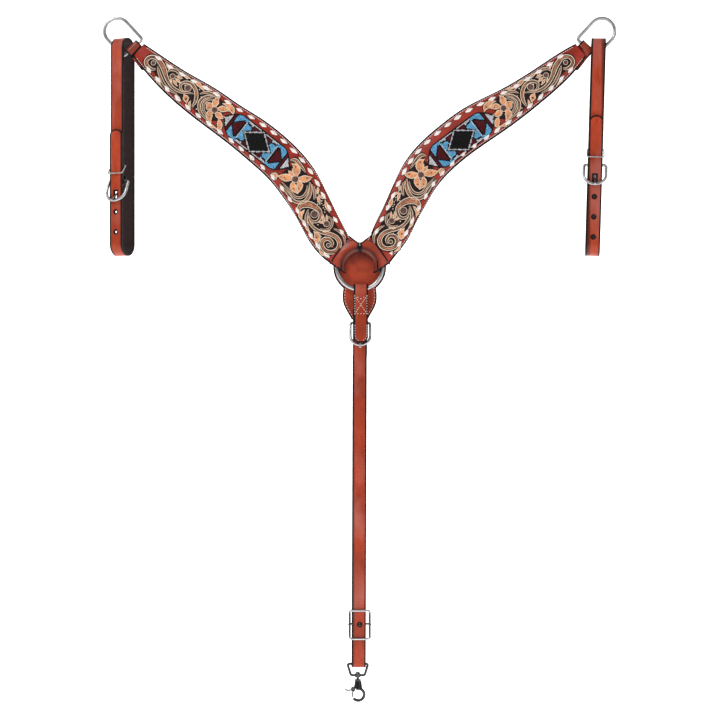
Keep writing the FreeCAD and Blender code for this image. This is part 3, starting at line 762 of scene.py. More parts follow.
def capsule(bm, start, end, radius, sides=6, flat=1.0):
    """A short rounded thread or dash between two points; flat is its height over its width."""
    along = end - start
    length = along.length
    along.normalize()
    out = Vector((0, -1, 0))
    across = along.cross(out).normalized()
    rings = []
    for t, share in ((0.0, 0.35), (0.14, 0.85), (0.5, 1.0), (0.86, 0.85), (1.0, 0.35)):
        centre = start + along * (length * t)
        rings.append([bm.verts.new(centre + across * (math.cos(a) * radius * share)
                                   + out * (math.sin(a) * radius * share * flat))
                      for a in (2 * math.pi * k / sides for k in range(sides))])
    close_strip(bm, rings, True, [0] * sides)


def build_edge_stitches(panel):
    """Fine thread sewn through all layers just inside both edges."""
    bm = bmesh.new()
    for hand in (1, -1):
        at = STITCH_FIRST
        while at < panel.run[-1] - STITCH_LAST:
            ends = [panel.point(k, hand * (panel.half_width(k) - STITCH_IN), 0.12)
                    for k in (at, at + STITCH_LONG)]
            capsule(bm, *ends, 0.7 * MM)
            at += STITCH_PITCH
    add_piece(panel.side + "_edge_stitches", bm, ("thread",), panel.side + "_panel", "white_lace")


def lozenge(bm, panel, along, across, lean, long, wide):
    """One lace crossing: a domed strip that narrows to a point where it dives into its slit."""
    rings = []
    steps = 12
    cos, sin = math.cos(lean), math.sin(lean)
    for i in range(steps + 1):
        u = 2 * i / steps - 1
        half = wide / 2 * max(0.04, (1 - abs(u) ** 1.2)) ** 0.85
        dome = LACE_DOME * (1 - abs(u) ** 3)
        ring = []
        for v, rise in LACE_SECTION:
            x = u * long / 2
            y = v * half
            ring.append(bm.verts.new(panel.point(along + x * cos - y * sin, across + x * sin + y * cos,
                                                 dome * rise + LACE_LIFT)))
        rings.append(ring)
    close_strip(bm, rings, False, [0] * 6, caps=False)


def build_lace(panel):
    """White lozenges where the CAD lace is, and the dark slits that the lace goes down through."""
    rng = random.Random(11 if panel.side == "left" else 12)
    bm = merged(panel.side + "_lace")
    crossings = groups(bm.verts, lambda vert: [edge.other_vert(vert) for edge in vert.link_edges])
    centres = [sum((vert.co for vert in crossing), Vector()) / len(crossing) for crossing in crossings]
    bm.free()
    white = bmesh.new()
    slits = bmesh.new()
    for centre in centres:
        along, across = panel.locate(centre.x, centre.z)
        hand = 1 if across > 0 else -1
        across += max(0.0, 1 - along / LACE_SPREAD_LONG) * LACE_SPREAD * hand
        lean = hand * LACE_LEAN + rng.uniform(-LACE_LEAN_VARIES, LACE_LEAN_VARIES)
        # the edge runs at a small angle to the middle line
        lean += math.atan((panel.half_width(along + 5) - panel.half_width(along - 5)) / 10) * hand
        long = rng.uniform(*LACE_LONG)
        lozenge(white, panel, along, across, lean, long, rng.uniform(*LACE_WIDE))
        for end in (-1, 1):
            x = along + end * (long / 2 + SLIT_GAP) * math.cos(lean)
            y = across + end * (long / 2 + SLIT_GAP) * math.sin(lean)
            ends = [panel.point(x + k * 0.8, y + k * 2.0 * hand, 0.02) for k in (-1, 1)]
            capsule(slits, *ends, 0.75 * MM, flat=0.35)
    body = panel.side + "_panel"
    add_piece(panel.side + "_lace_lozenges", white, ("lace",), body, "white_lace", (panel.side + "_lace",))
    add_piece(panel.side + "_lace_slits", slits, ("groove",), body, "white_lace")


# ---------------------------------------------------------------- tooling

# Strokes of the carved pattern: (along, across, width) in millimetres
VINES = [
    [(44, 2, 2), (52, -4, 6), (62, -10, 7), (74, -15, 6.5), (88, -17, 5), (101, -15, 2)],
    [(45, -4, 3), (40, -9, 7), (31, -10, 8.5), (24, -6, 9), (23, 2, 9), (27, 8, 9), (35, 11, 9.5),
     (46, 9, 11), (56, 5, 11), (65, -1, 9.5), (77, -7, 8), (90, -10, 7), (103, -8, 6.5), (113, -3, 5),
     (125, 3, 2)],
    [(64, 4, 2), (66, 12, 6), (75, 17, 7), (85, 15, 6), (91, 9, 2)],
    [(113, -5, 2.5), (102, -4, 5), (96, 3, 6.5), (101, 11, 7), (111, 14, 8), (122, 10, 8.5), (130, 2, 8.5),
     (134, -8, 7.5), (135, -19, 3)],
    [(133, 8, 2), (140, 16, 6), (151, 20, 7), (163, 20, 2.5)],
    [(156, 17, 2.5), (146, 11, 7), (141, 0, 8), (144, -10, 8), (153, -18, 7), (170, -22, 3)],
    [(158, 13, 2), (151, 8, 5), (148, 0, 6), (151, -8, 5.5), (158, -13, 5), (173, -17, 2)],
    [(326, 13, 2), (332, 20, 8), (345, 21, 7), (358, 21, 2.5)],
    [(375, 17, 3), (387, 11, 8), (396, 1, 8.5), (399, -9, 8), (395, -19, 8), (385, -25, 7.5), (370, -26, 7),
     (347, -28, 3)],
    [(377, 11, 2), (385, 5, 5.5), (390, -5, 6), (388, -14, 6), (381, -19, 5.5), (368, -20.5, 5),
     (346, -23, 2)],
    [(380, 18, 2), (392, 16, 6), (404, 8, 3)],
    [(415, -9, 2.5), (424, -17, 6.5), (434, -22, 6), (446, -25, 2)],
    [(407, -26, 8), (403, -16, 13), (406, -6, 14), (415, 3, 12), (427, 8, 9), (437, 3, 7.5), (440, -6, 6.5),
     (434, -13, 5), (424, -13, 3)],
    [(420, -11, 3), (432, -17, 6), (447, -15, 7), (459, -8, 8), (469, 2, 9), (481, 9, 9.5), (493, 8, 10),
     (500, -1, 9.5), (498, -12, 9.5), (489, -20, 9.5), (478, -19, 9.5), (473, -11, 9), (477, -3, 8.5),
     (486, -2, 7), (491, -8, 3)],
    [(441, 17, 2), (452, 19, 5.5), (461, 12, 5.5), (461, 2, 4.5), (454, -6, 2)],
    [(466, 14, 2), (477, 20, 6), (490, 21, 6), (501, 14, 2)],
]
# Leaves and petals: (along, across, width), pointed at both ends
LEAVES = [
    [(52, -16, 0.6), (61, -18, 6), (74, -21, 0.6)],
    [(50, 16, 0.6), (58, 14, 6), (67, 8, 0.6)],
    [(80, 9, 1), (86, 11, 6), (93, 13, 0.8)],
    [(81, 5, 1), (88, 5, 6.5), (95, 4, 0.8)],
    [(80, 1, 1), (86, -1, 6.5), (92, -4, 0.8)],
    [(76, 0, 1), (79, -3, 5), (83, -5, 0.8)],
    [(85, 20, 0.6), (95, 19, 6), (106, 21, 0.6)],
    [(107, 21, 0.6), (121, 21, 8), (138, 16, 0.6)],
    [(110, -8, 1), (117, -12, 11), (124, -19, 0.8)],
    [(97, -16, 0.6), (106, -19, 6), (114, -21, 0.6)],
    [(126, -10, 0.6), (128, -17, 6), (134, -23, 0.6)],
    [(133, 19, 0.6), (140, 23, 6), (151, 26, 0.6)],
    [(174, 17, 0.6), (184, 20, 8), (195, 18, 10), (203, 11, 0.6)],
    [(170, -25, 0.6), (182, -26, 7), (192, -24, 0.6)],
    [(184, -8, 0.6), (190, -13, 9), (195, -20, 8), (190, -27, 0.6)],
    [(167, 4, 5), (164, 11, 12), (163, 18, 8), (165, 24, 0.8)],
    [(166, 1, 5), (160, 0, 14), (155, 1, 10), (150, 1, 0.8)],
    [(168, -4, 5), (167, -11, 12), (171, -17, 10), (179, -22, 0.8)],
    [(173, 4, 4), (179, 9, 11), (186, 12, 8), (192, 13, 0.8)],
    [(174, -2, 4), (180, -3, 11), (187, -3, 8), (193, 1, 0.8)],
    [(320, -26, 0.6), (328, -23, 8), (337, -29, 0.6)],
    [(354, 3, 5), (347, 9, 14), (340, 13, 11), (332, 11, 0.8)],
    [(359, 4, 5), (365, 11, 12), (369, 19, 9), (371, 26, 0.8)],
    [(354, -5, 5), (347, -10, 13), (340, -16, 11), (331, -22, 0.8)],
    [(362, 2, 4), (369, 0, 11), (375, -5, 9), (381, -12, 0.8)],
    [(358, -6, 4), (364, -11, 11), (372, -13, 9), (381, -12, 0.8)],
    [(352, -1, 3), (345, -1, 9), (337, -1, 0.8)],
    [(400, 16, 2), (393, 22, 6), (388, 25, 0.6)],
    [(400, 16, 2), (407, 23, 6), (411, 28, 0.6)],
    [(400, 16, 2), (409, 15, 6.5), (417, 13, 0.6)],
    [(412, 25, 0.6), (424, 23, 8), (438, 22, 0.6)],
    [(410, -22, 0.6), (418, -26, 8), (429, -28, 0.6)],
    [(412, -14, 0.6), (415, -20, 6), (421, -24, 0.6)],
    [(434, -26, 0.6), (443, -26, 6), (453, -24, 0.6)],
    [(449, 11, 2), (444, 13, 6), (437, 16, 0.8)],
    [(448, 8, 2), (442, 7, 6.5), (434, 11, 0.8)],
    [(449, 4, 2), (445, 1, 6), (442, -4, 0.8)],
    [(452, -18, 0.6), (461, -17, 11), (468, -22, 8), (459, -27, 0.6)],
    [(466, 8, 0.6), (462, -1, 5), (458, -6, 0.6)],
    [(478, -27, 0.6), (489, -28, 6), (499, -23, 0.6)],
]
# Domed studs and eyes: (along, across, radius)
EYES = [(35, 1, 3.6), (76, 5, 4.2), (110, 5, 5.4), (170, 0, 5.4), (357, -1, 5.8), (427, -3, 5.8),
        (400, 16, 3.4), (452, 8, 5.0), (485, -10, 3.0)]
# Dark hollows punched at the roots and tips of the petals: (along, across, radius)
HOLLOWS = [(163, 17, 1.2), (158, 4, 1.1), (159, -5, 1.1), (170, -15, 1.2), (183, 9, 1.1), (118, -13, 1.8),
           (341, 13, 1.3), (347, 5, 1.1), (367, 17, 1.3), (343, -14, 1.3), (374, -5, 1.4), (369, -13, 1.3),
           (376, -10, 1.4), (463, -19, 1.6), (195, 17, 1.3)]
# Small seeds between the leaves: (along, across, radius)
SEEDS = [(103, 6, 1.2), (92, -3, 1.3), (99, 17, 1.2), (128, 14, 1.2), (143, -17, 1.3), (138, 5, 1.2),
         (60, 7, 1.2), (139, 22, 1.2), (366, -6, 1.2), (386, 19, 1.2), (412, 19, 1.2), (416, 17, 1.1),
         (420, 18, 1.1), (424, 16, 1.1), (428, 17, 1.1), (432, 15, 1.1), (410, 12, 1.1), (414, 10, 1.1),
         (446, -6, 1.2), (440, -13, 1.2), (470, -6, 1.2), (466, -12, 1.2), (330, 5, 1.2), (388, -28, 1.2)]
# Broad stamped ground under the middle of each tooled part, as strokes
FIELDS = [
    [(24, 0, 14), (45, 0, 22), (75, 1, 30), (110, 0, 36), (150, 0, 42), (172, 0, 42), (186, 0, 24)],
    [(334, 2, 26), (350, 1, 40), (380, 0, 42), (420, -1, 46), (455, -1, 46), (480, 0, 40), (494, -1, 26)],
]
# Materials of the carving, and its half cross sections from the edge inwards: (millimetres in, height
# share), then the material numbers of the strips between them, the last reaching the middle
CARVED = ("cream", "peach", "groove", "seed", "tan")
RIBBON = [(0.0, -0.25), (0.7, 0.35), (0.95, 0.9), (2.0, 1.0), (2.2, 0.45), (3.2, 0.4), (3.4, 0.8)]
RIBBON_ZONES = [2, 2, 0, 0, 2, 2, 4]
LEAF = [(0.0, -0.25), (0.8, 0.4), (1.05, 0.9), (1.6, 1.0), (2.2, 0.72)]
LEAF_ZONES = [2, 2, 0, 0, 1]
GROUND_EDGE = [(0.0, -0.3), (0.5, 0.7), (1.0, 1.0)]
EYE_RING = [(0.0, -0.3), (0.4, 1.0)]


def cross_section(wide, profile, crest):
    """Offsets across and heights of a whole section, squeezed where the stroke is narrow."""
    half = wide / 2
    squeeze = min(1.0, half / (profile[-1][0] + 0.6))
    side = [(half - inset * squeeze, height) for inset, height in profile]
    return [(-offset, height) for offset, height in side] + [(0.0, crest)] + side[::-1]


def stroke(bm, panel, points, profile, zones, base, height, per=9, scallop=0.0, crest=0.9):
    """A raised strip along a smooth line of (along, across, width) points on the panel's face.

    base is how far it starts above the face, height its own height, per how many steps there are between
    points, scallop how much its edge waves, and crest the height share along its middle.
    """
    dense = spline(points, per)
    step = np.gradient(dense[:, :2], axis=0)
    step /= np.linalg.norm(step, axis=1)[:, None] + 1e-9
    rings = []
    for i, (along, across, wide) in enumerate(dense):
        wide = max(wide, 0.5)
        if scallop:
            wide *= 1 + scallop * (abs(math.sin(i * 0.9)) - 0.5)
        tall = height * min(1.0, wide / 4)
        ring = []
        for offset, share in cross_section(wide, profile, crest):
            place = panel.point(along - step[i, 1] * offset, across + step[i, 0] * offset,
                                base + share * tall)
            ring.append(bm.verts.new(place))
        rings.append(ring)
    close_strip(bm, rings, False, zones + zones[::-1], caps=False)


def dome(bm, place, panel, base, height, zone, rings=4, sides=14):
    """A round stud on the face, its foot sunk a little; place is (along, across, radius)."""
    along, across, radius = place
    loops = []
    for i in range(rings):
        angle = math.pi / 2 * i / rings
        lift = base + height * math.sin(angle) - (0.2 if i == 0 else 0)
        loops.append([bm.verts.new(panel.point(along + math.cos(k) * radius * math.cos(angle),
                                               across + math.sin(k) * radius * math.cos(angle), lift))
                      for k in (2 * math.pi * j / sides for j in range(sides))])
    close_strip(bm, loops, True, [zone] * sides, caps=False)
    face = bm.faces.new(loops[-1])
    face.material_index = zone


def build_ground(panel):
    """Dark stamped ground under and round all of the carving."""
    bm = bmesh.new()
    for field in FIELDS:
        stroke(bm, panel, field, GROUND_EDGE, [0] * 3, 0.06, 0.2, crest=1.0)
    for line in VINES + LEAVES:
        wider = [(a, c, w + 2.6) for a, c, w in line]
        stroke(bm, panel, wider, GROUND_EDGE, [0] * 3, 0.05, 0.18, 6, crest=1.0)
    for a, c, radius in EYES:
        dome(bm, (a, c, radius + 1.4), panel, 0.06, 0.28, 0)
    add_piece(panel.side + "_stamped_ground", bm, ("ground",), panel.side + "_panel", "tooled_leather")


def build_tooling(panel):
    """Carved leaves, vines and flowers; each one lies a little over the one before it."""
    bm = bmesh.new()
    for number, line in enumerate(LEAVES):
        fuller = [(a, c, w * 1.15) for a, c, w in line]
        stroke(bm, panel, fuller, LEAF, LEAF_ZONES, 0.22 + 0.01 * number, 0.8, 8, 0.18, 0.35)
    for number, line in enumerate(VINES):
        stroke(bm, panel, line, RIBBON, RIBBON_ZONES, 0.3 + 0.02 * number, 1.0)
    for a, c, radius in EYES:
        dome(bm, (a, c, radius), panel, 0.6, 1.0, CARVED.index("seed"))
        ring = [(a + math.cos(t) * (radius + 0.4), c + math.sin(t) * (radius + 0.4), 1.3)
                for t in (2 * math.pi * k / 10 for k in range(11))]
        stroke(bm, panel, ring, EYE_RING, [2, 0], 0.55, 0.9, 3, crest=1.0)
    for place in SEEDS:
        dome(bm, place, panel, 0.2, 0.8, CARVED.index("cream"), 3, 8)
    for place in HOLLOWS:
        dome(bm, place, panel, 0.9, 0.25, CARVED.index("groove"), 2, 10)
    add_piece(panel.side + "_tooling", bm, CARVED, panel.side + "_panel", "tooled_leather")


# ---------------------------------------------------------------- bead inlays

# The woven pattern, mirrored both ways, in millimetres from the middle of the field. The diamond: its half
# sizes, and how far out, as a share of them, its white outline and the black round that reach
DIAMOND = (26, 20)
DIAMOND_WHITE = 1.12
DIAMOND_BLACK = 1.24
# Bands from the middle outwards: (where it ends, its beads from the middle line out), each kind of bead as
# (how far out it reaches where the band starts, how much further per millimetre along, kind)
ALL = 99.0
BANDS = [
    (4.0, [(19.3, 0, "bead_maroon"), (ALL, 0, "bead_black")]),
    (18.6, [(19.3, 0, "bead_maroon"), (ALL, 0, "bead_white")]),
    (20.5, [(19.3, 0, "bead_black"), (ALL, 0, "bead_white")]),
    (33.0, [(13.3, 0.216, "bead_blue"), (16.5, 0.216, "bead_black"), (ALL, 0, "bead_white")]),
    (34.8, [(16.0, 0, "bead_white"), (ALL, 0, "bead_blue")]),
    (38.3, [(16.5, 0, "bead_black"), (ALL, 0, "bead_blue")]),
    (53.6, [(14.5, -0.9236, "bead_maroon"), (17.7, -0.9236, "bead_black"), (ALL, 0, "bead_blue")]),
    (55.4, [(ALL, 0, "bead_black")]),
    (59.0, [(ALL, 0, "bead_maroon")]),
    (61.0, [(ALL, 0, "bead_black")]),
    (ALL, [(ALL, 0, "bead_white")]),
]


def inlay_frame(side):
    """Centre, long axis, cross axis and half sizes of a bead field, from its CAD node."""
    points = [v.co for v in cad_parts[side + "_bead_inlay"].data.vertices]
    lo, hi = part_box(side + "_bead_inlay")
    centre = (lo + hi) / 2
    far = max(points, key=lambda p: Vector((p.x - centre.x, 0, p.z - centre.z)).length)
    along = Vector((far.x - centre.x, 0, far.z - centre.z))
    half = along.length / MM
    along.normalize()
    if along.x < 0:
        along = -along
    across = Vector((-along.z, 0, along.x))
    wide = max(abs((p - centre).dot(across)) for p in points) / MM
    return centre, along, across, half, wide


def bead_colour(x, y):
    """Which bead is at (x, y) millimetres from the middle of the field, by the woven pattern."""
    x, y = abs(x), abs(y)
    diamond = x / DIAMOND[0] + y / DIAMOND[1]
    if diamond <= DIAMOND_BLACK:
        return "bead_white" if 1 < diamond <= DIAMOND_WHITE else "bead_black"
    start = 0.0
    for end, rows in BANDS:
        if x < end:
            return next(kind for reach, rise, kind in rows if y < reach + rise * (x - start))
        start = end


def field_outline(half, wide):
    """Corners of the field: pointed ends with slightly rounded shoulders, in order."""
    corners = [(half, 0), (half - SHOULDER_AT * INLAY_CLIP, SHOULDER_AT * wide),
               (half - INLAY_CLIP - SHOULDER_IN, wide)]
    upper = corners + [(-x, y) for x, y in corners[::-1]]
    return upper + [(x, -y) for x, y in upper[-2:0:-1]]


def in_field(x, y, half, wide, spare):
    """Whether a place lies within the field less a margin."""
    x, y = abs(x), abs(y)
    if y > wide - spare:
        return False
    slope = math.hypot(INLAY_CLIP, wide) / wide
    if x > half - INLAY_CLIP * y / wide - spare * slope:
        return False
    drop = (1 - SHOULDER_AT) * INLAY_CLIP + SHOULDER_IN
    shoulder = half - SHOULDER_AT * INLAY_CLIP - (y / wide - SHOULDER_AT) / (1 - SHOULDER_AT) * drop
    return y < SHOULDER_AT * wide or x < shoulder - spare * 1.6


def bead(bm, centre, along, across, zone):
    """One barrel-shaped bead with its hole along the row."""
    rings = []
    sides = 8
    out = Vector((0, -1, 0))
    for t, share in BARREL:
        middle = centre + across * (t * BEAD_R * MM)
        reach = share * BEAD_R * MM
        rings.append([bm.verts.new(middle + (along * math.cos(a) + out * math.sin(a)) * reach)
                      for a in (2 * math.pi * k / sides for k in range(sides))])
    close_strip(bm, rings, True, [zone] * sides)


def build_inlay(panel):
    """Loomed beads in rows on a dark backing, with a black rolled border."""
    centre, along, across, half, wide = inlay_frame(panel.side)
    body = panel.side + "_panel"
    kinds = ("bead_blue", "bead_black", "bead_maroon", "bead_white")
    rng = random.Random(5)

    def at(x, y, lift):
        place = centre + along * (x * MM) + across * (y * MM)
        return Vector((place.x, panel.front - lift * MM, place.z))

    corners = field_outline(half, wide)
    backing = bmesh.new()
    low = [backing.verts.new(at(x, y, -0.4)) for x, y in corners]
    high = [backing.verts.new(at(x, y, 0.5)) for x, y in corners]
    close_strip(backing, [low, high], True, [0] * len(corners))
    border = corners + [corners[0]]
    for start, end in zip(border, border[1:]):
        capsule(backing, at(*start, 0.7), at(*end, 0.7), BORDER_R * MM, 10)
    add_piece(panel.side + "_inlay_backing", backing, ("edge",), body, "glass_beads",
              (panel.side + "_bead_inlay",), smooth=False)

    beads = bmesh.new()
    columns = int(2 * half / BEAD_PITCH)
    rows = int(2 * wide / BEAD_PITCH)
    for i in range(columns + 1):
        for j in range(rows + 1):
            x = (i - columns / 2) * BEAD_PITCH
            y = (j - rows / 2) * BEAD_PITCH
            if not in_field(x, y, half, wide, BEAD_MARGIN):
                continue
            dx, dy, lift = (rng.uniform(-BEAD_STRAY, BEAD_STRAY) for _ in range(3))
            place = at(x + dx, y + dy, BEAD_LIFT + lift)
            bead(beads, place, along, across, kinds.index(bead_colour(x, y)))
    add_piece(panel.side + "_beadwork", beads, kinds, body, "glass_beads")


# ---------------------------------------------------------------- straps from the CAD shapes

def smooth_regions(bm, limit):
    """Faces grouped into surfaces bounded by edges sharper than limit degrees."""
    def beside(face):
        flat = [edge for edge in face.edges
                if len(edge.link_faces) == 2 and edge.calc_face_angle(4) <= math.radians(limit)]
        return [other for edge in flat for other in edge.link_faces]

    bm.faces.ensure_lookup_table()
    return groups(bm.faces, beside)


def region_width(region):
    """Mean width of a surface: twice its area over the length of its border."""
    inside = set(region)
    border = 0.0
    for face in region:
        for edge in face.edges:
            if sum(other in inside for other in edge.link_faces) == 1:
                border += edge.calc_length()
    return 2 * sum(face.calc_area() for face in region) / max(border, 1e-9)


def paint_and_round(bm, round_by=0.45):
    """Grain side (zone 0), flesh side (zone 1) and black edges (zone 2), with the sharp edges rounded.

    The grain side is the largest of the surfaces that are wider than the leather's edge.
    """
    regions = smooth_regions(bm, SHARP)
    wide_ones = sorted([r for r in regions if region_width(r) > EDGE_WIDEST * MM],
                       key=lambda r: -sum(f.calc_area() for f in r))
    for region in regions:
        zone = 2
        if region in wide_ones:
            zone = 0 if region is wide_ones[0] else 1
        for face in region:
            face.material_index = zone
    for region in wide_ones:
        rim = bmesh.ops.inset_region(bm, faces=region, thickness=RIM * MM, use_boundary=True,
                                     use_even_offset=True)
        for face in rim["faces"]:
            face.material_index = 2
    sharp = [e for e in bm.edges if len(e.link_faces) == 2 and e.calc_face_angle(0) > math.radians(SHARP)]
    bmesh.ops.bevel(bm, geom=sharp, offset=round_by * MM, segments=2, profile=0.5, affect="EDGES",
                    clamp_overlap=True, material=2)


def join_flat_faces(bm):
    """Each flat surface made of one face again."""
    bmesh.ops.dissolve_limit(bm, angle_limit=math.radians(FLAT), verts=bm.verts, edges=bm.edges)


def build_strap(name, body, grain, node, round_by=0.45):
    """Leather made from a CAD solid: painted by surface, with its arrises rounded."""
    bm = merged(node)
    join_flat_faces(bm)
    paint_and_round(bm, round_by)
    piece = make_object(name, bm, (grain, "flesh", "edge"), weighted=True)
    finish_piece(piece, body, "strap_leather", node)


def build_tie_down():
    """One strap from under the drop buckle to the snap and back, which bends at its crease."""
    nodes = ("drop_billet", "tie_down_strap", "tie_down_tail")
    bm = merged(*nodes)
    split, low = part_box("tie_down_strap")[0].z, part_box("tie_down_strap")[1].z
    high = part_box("drop_billet")[0].z
    ends = []
    for face in bm.faces:
        level = face.calc_center_median().z
        flat = abs(face.normal.z) > 0.99
        if flat and min(abs(level - z) for z in (split, low, high)) < END_SLACK * MM:
            ends.append(face)
    bmesh.ops.delete(bm, geom=ends, context="FACES")
    bmesh.ops.remove_doubles(bm, verts=bm.verts, dist=JOIN * MM)
    bmesh.ops.bridge_loops(bm, edges=[e for e in bm.edges if e.is_boundary])
    join_flat_faces(bm)
    bmesh.ops.recalc_face_normals(bm, faces=bm.faces)
    paint_and_round(bm)
    middle = (low + high) / 2
    for k in range(-5, 6):
        everything = bm.verts[:] + bm.edges[:] + bm.faces[:]
        level = middle + k * CREASE_STEP * MM
        bmesh.ops.bisect_plane(bm, geom=everything, plane_co=(0, 0, level), plane_no=(0, 0, 1))
    piece = make_object("tie_down_leather", bm, ("tie", "flesh", "edge"), weighted=True)
    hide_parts(*nodes)
    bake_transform(piece)


def surface(node):
    """A function that gives the place on a CAD node's front surface at (x, z) metres, or None."""
    bm = merged(node)
    tree = BVHTree.FromBMesh(bm)
    bm.free()
    return lambda x, z: tree.ray_cast(Vector((x, -0.2, z)), Vector((0, 1, 0)))[0]


def sewn_row(bm, hit, points, pitch, length, radius, slant=0.0):
    """Stitches laid on a surface along a polyline of (x, z) metres, each turned by slant from it."""
    line = np.array(points, float)
    total = np.linalg.norm(np.diff(line, axis=0), axis=1).sum()
    count = max(2, int(total / pitch))
    places = resample(line, count)
    step = np.gradient(places, axis=0)
    step /= np.linalg.norm(step, axis=1)[:, None]
    for (x, z), (dx, dz) in zip(places, step):
        cx = dx * math.cos(slant) - dz * math.sin(slant)
        cz = dx * math.sin(slant) + dz * math.cos(slant)
        ends = []
        for sign in (-0.5, 0.5):
            place = hit(x + cx * length * sign, z + cz * length * sign)
            if place is not None:
                ends.append(place + Vector((0, -0.15 * MM, 0)))
        if len(ends) == 2:
            capsule(bm, ends[0], ends[1], radius, 7)


def inset_loop(loop, by):
    """A closed outline moved inwards."""
    before = np.roll(loop, 1, 0)
    following = np.roll(loop, -1, 0)
    step = following - before
    step /= np.linalg.norm(step, axis=1)[:, None] + 1e-12
    normal = np.stack([-step[:, 1], step[:, 0]], 1)
    area = np.sum(loop[:, 0] * following[:, 1] - following[:, 0] * loop[:, 1])
    return loop + normal * (by if area > 0 else -by)


def build_safe_stitches():
    """White thread round the safe, left out under the drop buckle."""
    bm = bmesh.new()
    outline = plan_loop("hub_safe", 0)
    rim = inset_loop(resample(np.vstack([outline, outline[:1]]), 400), SAFE_SEAM_IN * MM)
    rim = rim[rim[:, 1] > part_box("hub_safe")[0].z + SAFE_SEAM_IN * MM]
    start = np.argmax(np.linalg.norm(np.diff(rim, axis=0), axis=1))
    rim = np.roll(rim, -start - 1, 0)
    sewn_row(bm, surface("hub_safe"), rim, *SAFE_SEAM, 0.35)
    add_piece("safe_stitches", bm, ("thread_white",), "drop", "white_lace")


def build_connector_stitches():
    """The box with a cross and a notched top that holds the connector, and the two rows by its tip."""
    bm = bmesh.new()
    hit = surface("connector_strap")
    lo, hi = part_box("connector_strap")
    left, right = lo.x + 1.9 * MM, hi.x - 1.9 * MM
    middle = (left + right) / 2
    top, bottom = (z * MM for z in BOX_SEAM)
    box = [(left, top), (middle, top - 5 * MM), (right, top), (right, bottom), (left, bottom), (left, top)]
    for ends in zip(box, box[1:]):
        sewn_row(bm, hit, ends, *SEAM, 0.3)
    for cross in ([(left, top), (right, bottom)], [(right, top), (left, bottom)]):
        sewn_row(bm, hit, cross, *SEAM)
    tip = lo.z
    for hand in (-1, 1):
        edge = middle + hand * ((hi.x - lo.x) / 2 - 2.4 * MM)
        curve = [(edge, TIP_SEAM_TOP * MM), (edge, tip + 13 * MM), (edge - hand * 1.5 * MM, tip + 7.5 * MM),
                 (edge - hand * 5 * MM, tip + 4.2 * MM)]
        sewn_row(bm, hit, curve, *SEAM, 0.25)
    add_piece("connector_stitches", bm, ("thread_white",), "drop", "white_lace")


def build_leather():
    """Every strap and loop that keeps its CAD shape."""
    build_strap("hub_safe_leather", "drop", "hub", "hub_safe", 0.6)
    build_strap("connector_leather", "drop", "connector", "connector_strap")
    build_strap("drop_chape_leather", "drop", "hub", "drop_chape")
    build_tie_down()
    for side in SIDES:
        panel = side + "_panel"
        build_strap(side + "_ring_loop_leather", panel, "ring_loop", side + "_ring_loop", 0.5)
        build_strap(side + "_end_loop_leather", panel, "loop", side + "_end_loop", 0.5)
        turn = math.radians(TUG_TURN[side])
        MAT[side + "_tug"] = strap_leather(side + "_tug_leather", turn, tug_middle(side, turn))
        build_strap(side + "_tug_belt", side + "_tug", side + "_tug", side + "_tug_strap")


def tug_middle(side, turn):
    """How far across a tug strap's centre line lies, once its turn about Z is undone, in millimetres."""
    across = []
    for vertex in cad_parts[side + "_tug_strap"].data.vertices:
        across.append(vertex.co.x * math.cos(turn) + vertex.co.y * math.sin(turn))
    return (min(across) + max(across)) / 2 / MM


# ---------------------------------------------------------------- metal

METAL = {
    "steel": ["center_ring", "drop_buckle_frame", "drop_buckle_tongue"]
             + [side + part for side in SIDES
                for part in ("_end_ring", "_tug_buckle_frame", "_tug_buckle_tongue", "_tug_keeper")],
    "conway": ["conway_buckle_frame", "conway_buckle_pin"],
    "nickel": ["snap_loop", "snap_body", "snap_trigger", "snap_pin", "snap_spring"],
}


def finish_metal():
    """Give the metal CAD nodes their finish."""
    for key, nodes in METAL.items():
        for node in nodes:
            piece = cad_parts[node]
            if not piece.material_slots:
                piece.data.materials.append(MAT[key])
            for place in piece.material_slots:
                place.material = MAT[key]


# ---------------------------------------------------------------- stage

# Area lights: place, size, watts and what they point at
LIGHTS = {
    "key": ((-1.1, -1.6, 1.5), (0.7, 0.7), 18, (0, 0, 0)),
    "fill": ((1.8, -1.9, 0.4), (1.6, 1.8), 6.5, (0, 0, -0.1)),
    "top": ((0.0, -0.4, 2.2), (2.4, 1.2), 8, (0, 0, 0)),
    "wash_left": ((-2.2, 0.2, 1.2), (1.6, 1.6), 16, (-0.4, 1.5, 0.0)),
    "wash_right": ((2.2, 0.2, 1.2), (1.6, 1.6), 16, (0.4, 1.5, 0.0)),
}
# The cove, in metres: its drop below the object, half width, front edge, where it starts to curve up, the
# radius of that curve, and its top
COVE_DROP = 0.14
COVE_HALF = 4.5
COVE_FRONT = -3.0
COVE_BEND = 0.9
COVE_R = 0.6
COVE_TOP = 3.2
# The sky's tint, its strength as light and as the camera sees it, and the camera's lens in millimetres and
# place in metres
SKY_TINT = (0.92, 0.95, 1.0, 1)
SKY_LIGHT = 0.24
SKY_SEEN = 1.12
LENS = 85
CAMERA_AT = (0.0005, -2.975, -0.163)


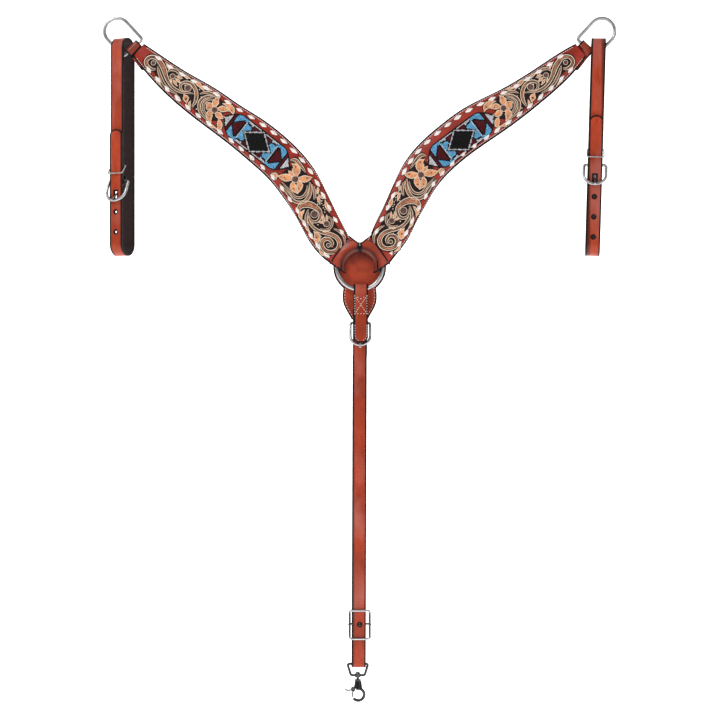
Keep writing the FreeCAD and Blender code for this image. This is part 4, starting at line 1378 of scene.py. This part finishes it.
def build_cove():
    """Pale floor that curves up into a backdrop, clear from behind."""
    MAT["floor"] = studio("studio_floor", STUDIO_WHITE, 900)
    floor_z = CAD_BOX[0][2] - COVE_DROP
    bm = bmesh.new()
    profile = [(COVE_FRONT, floor_z), (COVE_BEND, floor_z)]
    profile += [(COVE_BEND + COVE_R * math.sin(t), floor_z + COVE_R * (1 - math.cos(t)))
                for t in (math.pi / 2 * k / 12 for k in range(1, 13))]
    profile.append((COVE_BEND + COVE_R, COVE_TOP))
    rings = [[bm.verts.new((x, y, z)) for x in (-COVE_HALF, COVE_HALF)] for y, z in profile]
    close_strip(bm, rings, False, [0], caps=False)
    make_object("studio_cove", bm, ("floor",))


def build_lights():
    """Soft area lights, and a dim sky that looks white where the camera sees it."""
    for name, (place, size, power, target) in LIGHTS.items():
        light = bpy.data.lights.new(name, "AREA")
        light.shape = "RECTANGLE"
        light.size, light.size_y = size
        light.energy = power
        lamp = bpy.data.objects.new(name, light)
        lamp.location = place
        lamp.rotation_euler = (Vector(target) - Vector(place)).to_track_quat("-Z", "Y").to_euler()
        bpy.context.scene.collection.objects.link(lamp)

    world = bpy.data.worlds.new("studio")
    world.use_nodes = True
    tree = world.node_tree
    sky = tree.nodes["Background"]
    sky.inputs["Color"].default_value = SKY_TINT
    rays = tree.nodes.new("ShaderNodeLightPath")
    strength = tree.nodes.new("ShaderNodeMapRange")
    strength.inputs["To Min"].default_value = SKY_LIGHT
    strength.inputs["To Max"].default_value = SKY_SEEN
    tree.links.new(rays.outputs["Is Camera Ray"], strength.inputs["Value"])
    tree.links.new(strength.outputs["Result"], sky.inputs["Strength"])
    bpy.context.scene.world = world
    bpy.context.scene.view_settings.view_transform = "Standard"


def build_camera():
    """The camera, level and straight in front."""
    data = bpy.data.cameras.new("camera")
    data.lens = LENS
    data.sensor_width = 36
    data.clip_end = 50
    camera = bpy.data.objects.new("camera", data)
    camera.location = CAMERA_AT
    camera.rotation_euler = (math.pi / 2, 0, 0)
    bpy.context.scene.collection.objects.link(camera)
    bpy.context.scene.camera = camera


for each in PANELS.values():
    build_panel(each)
    build_edge_stitches(each)
    build_lace(each)
    build_ground(each)
    build_tooling(each)
    build_inlay(each)
build_leather()
build_safe_stitches()
build_connector_stitches()
finish_metal()
build_cove()
build_lights()
build_camera()
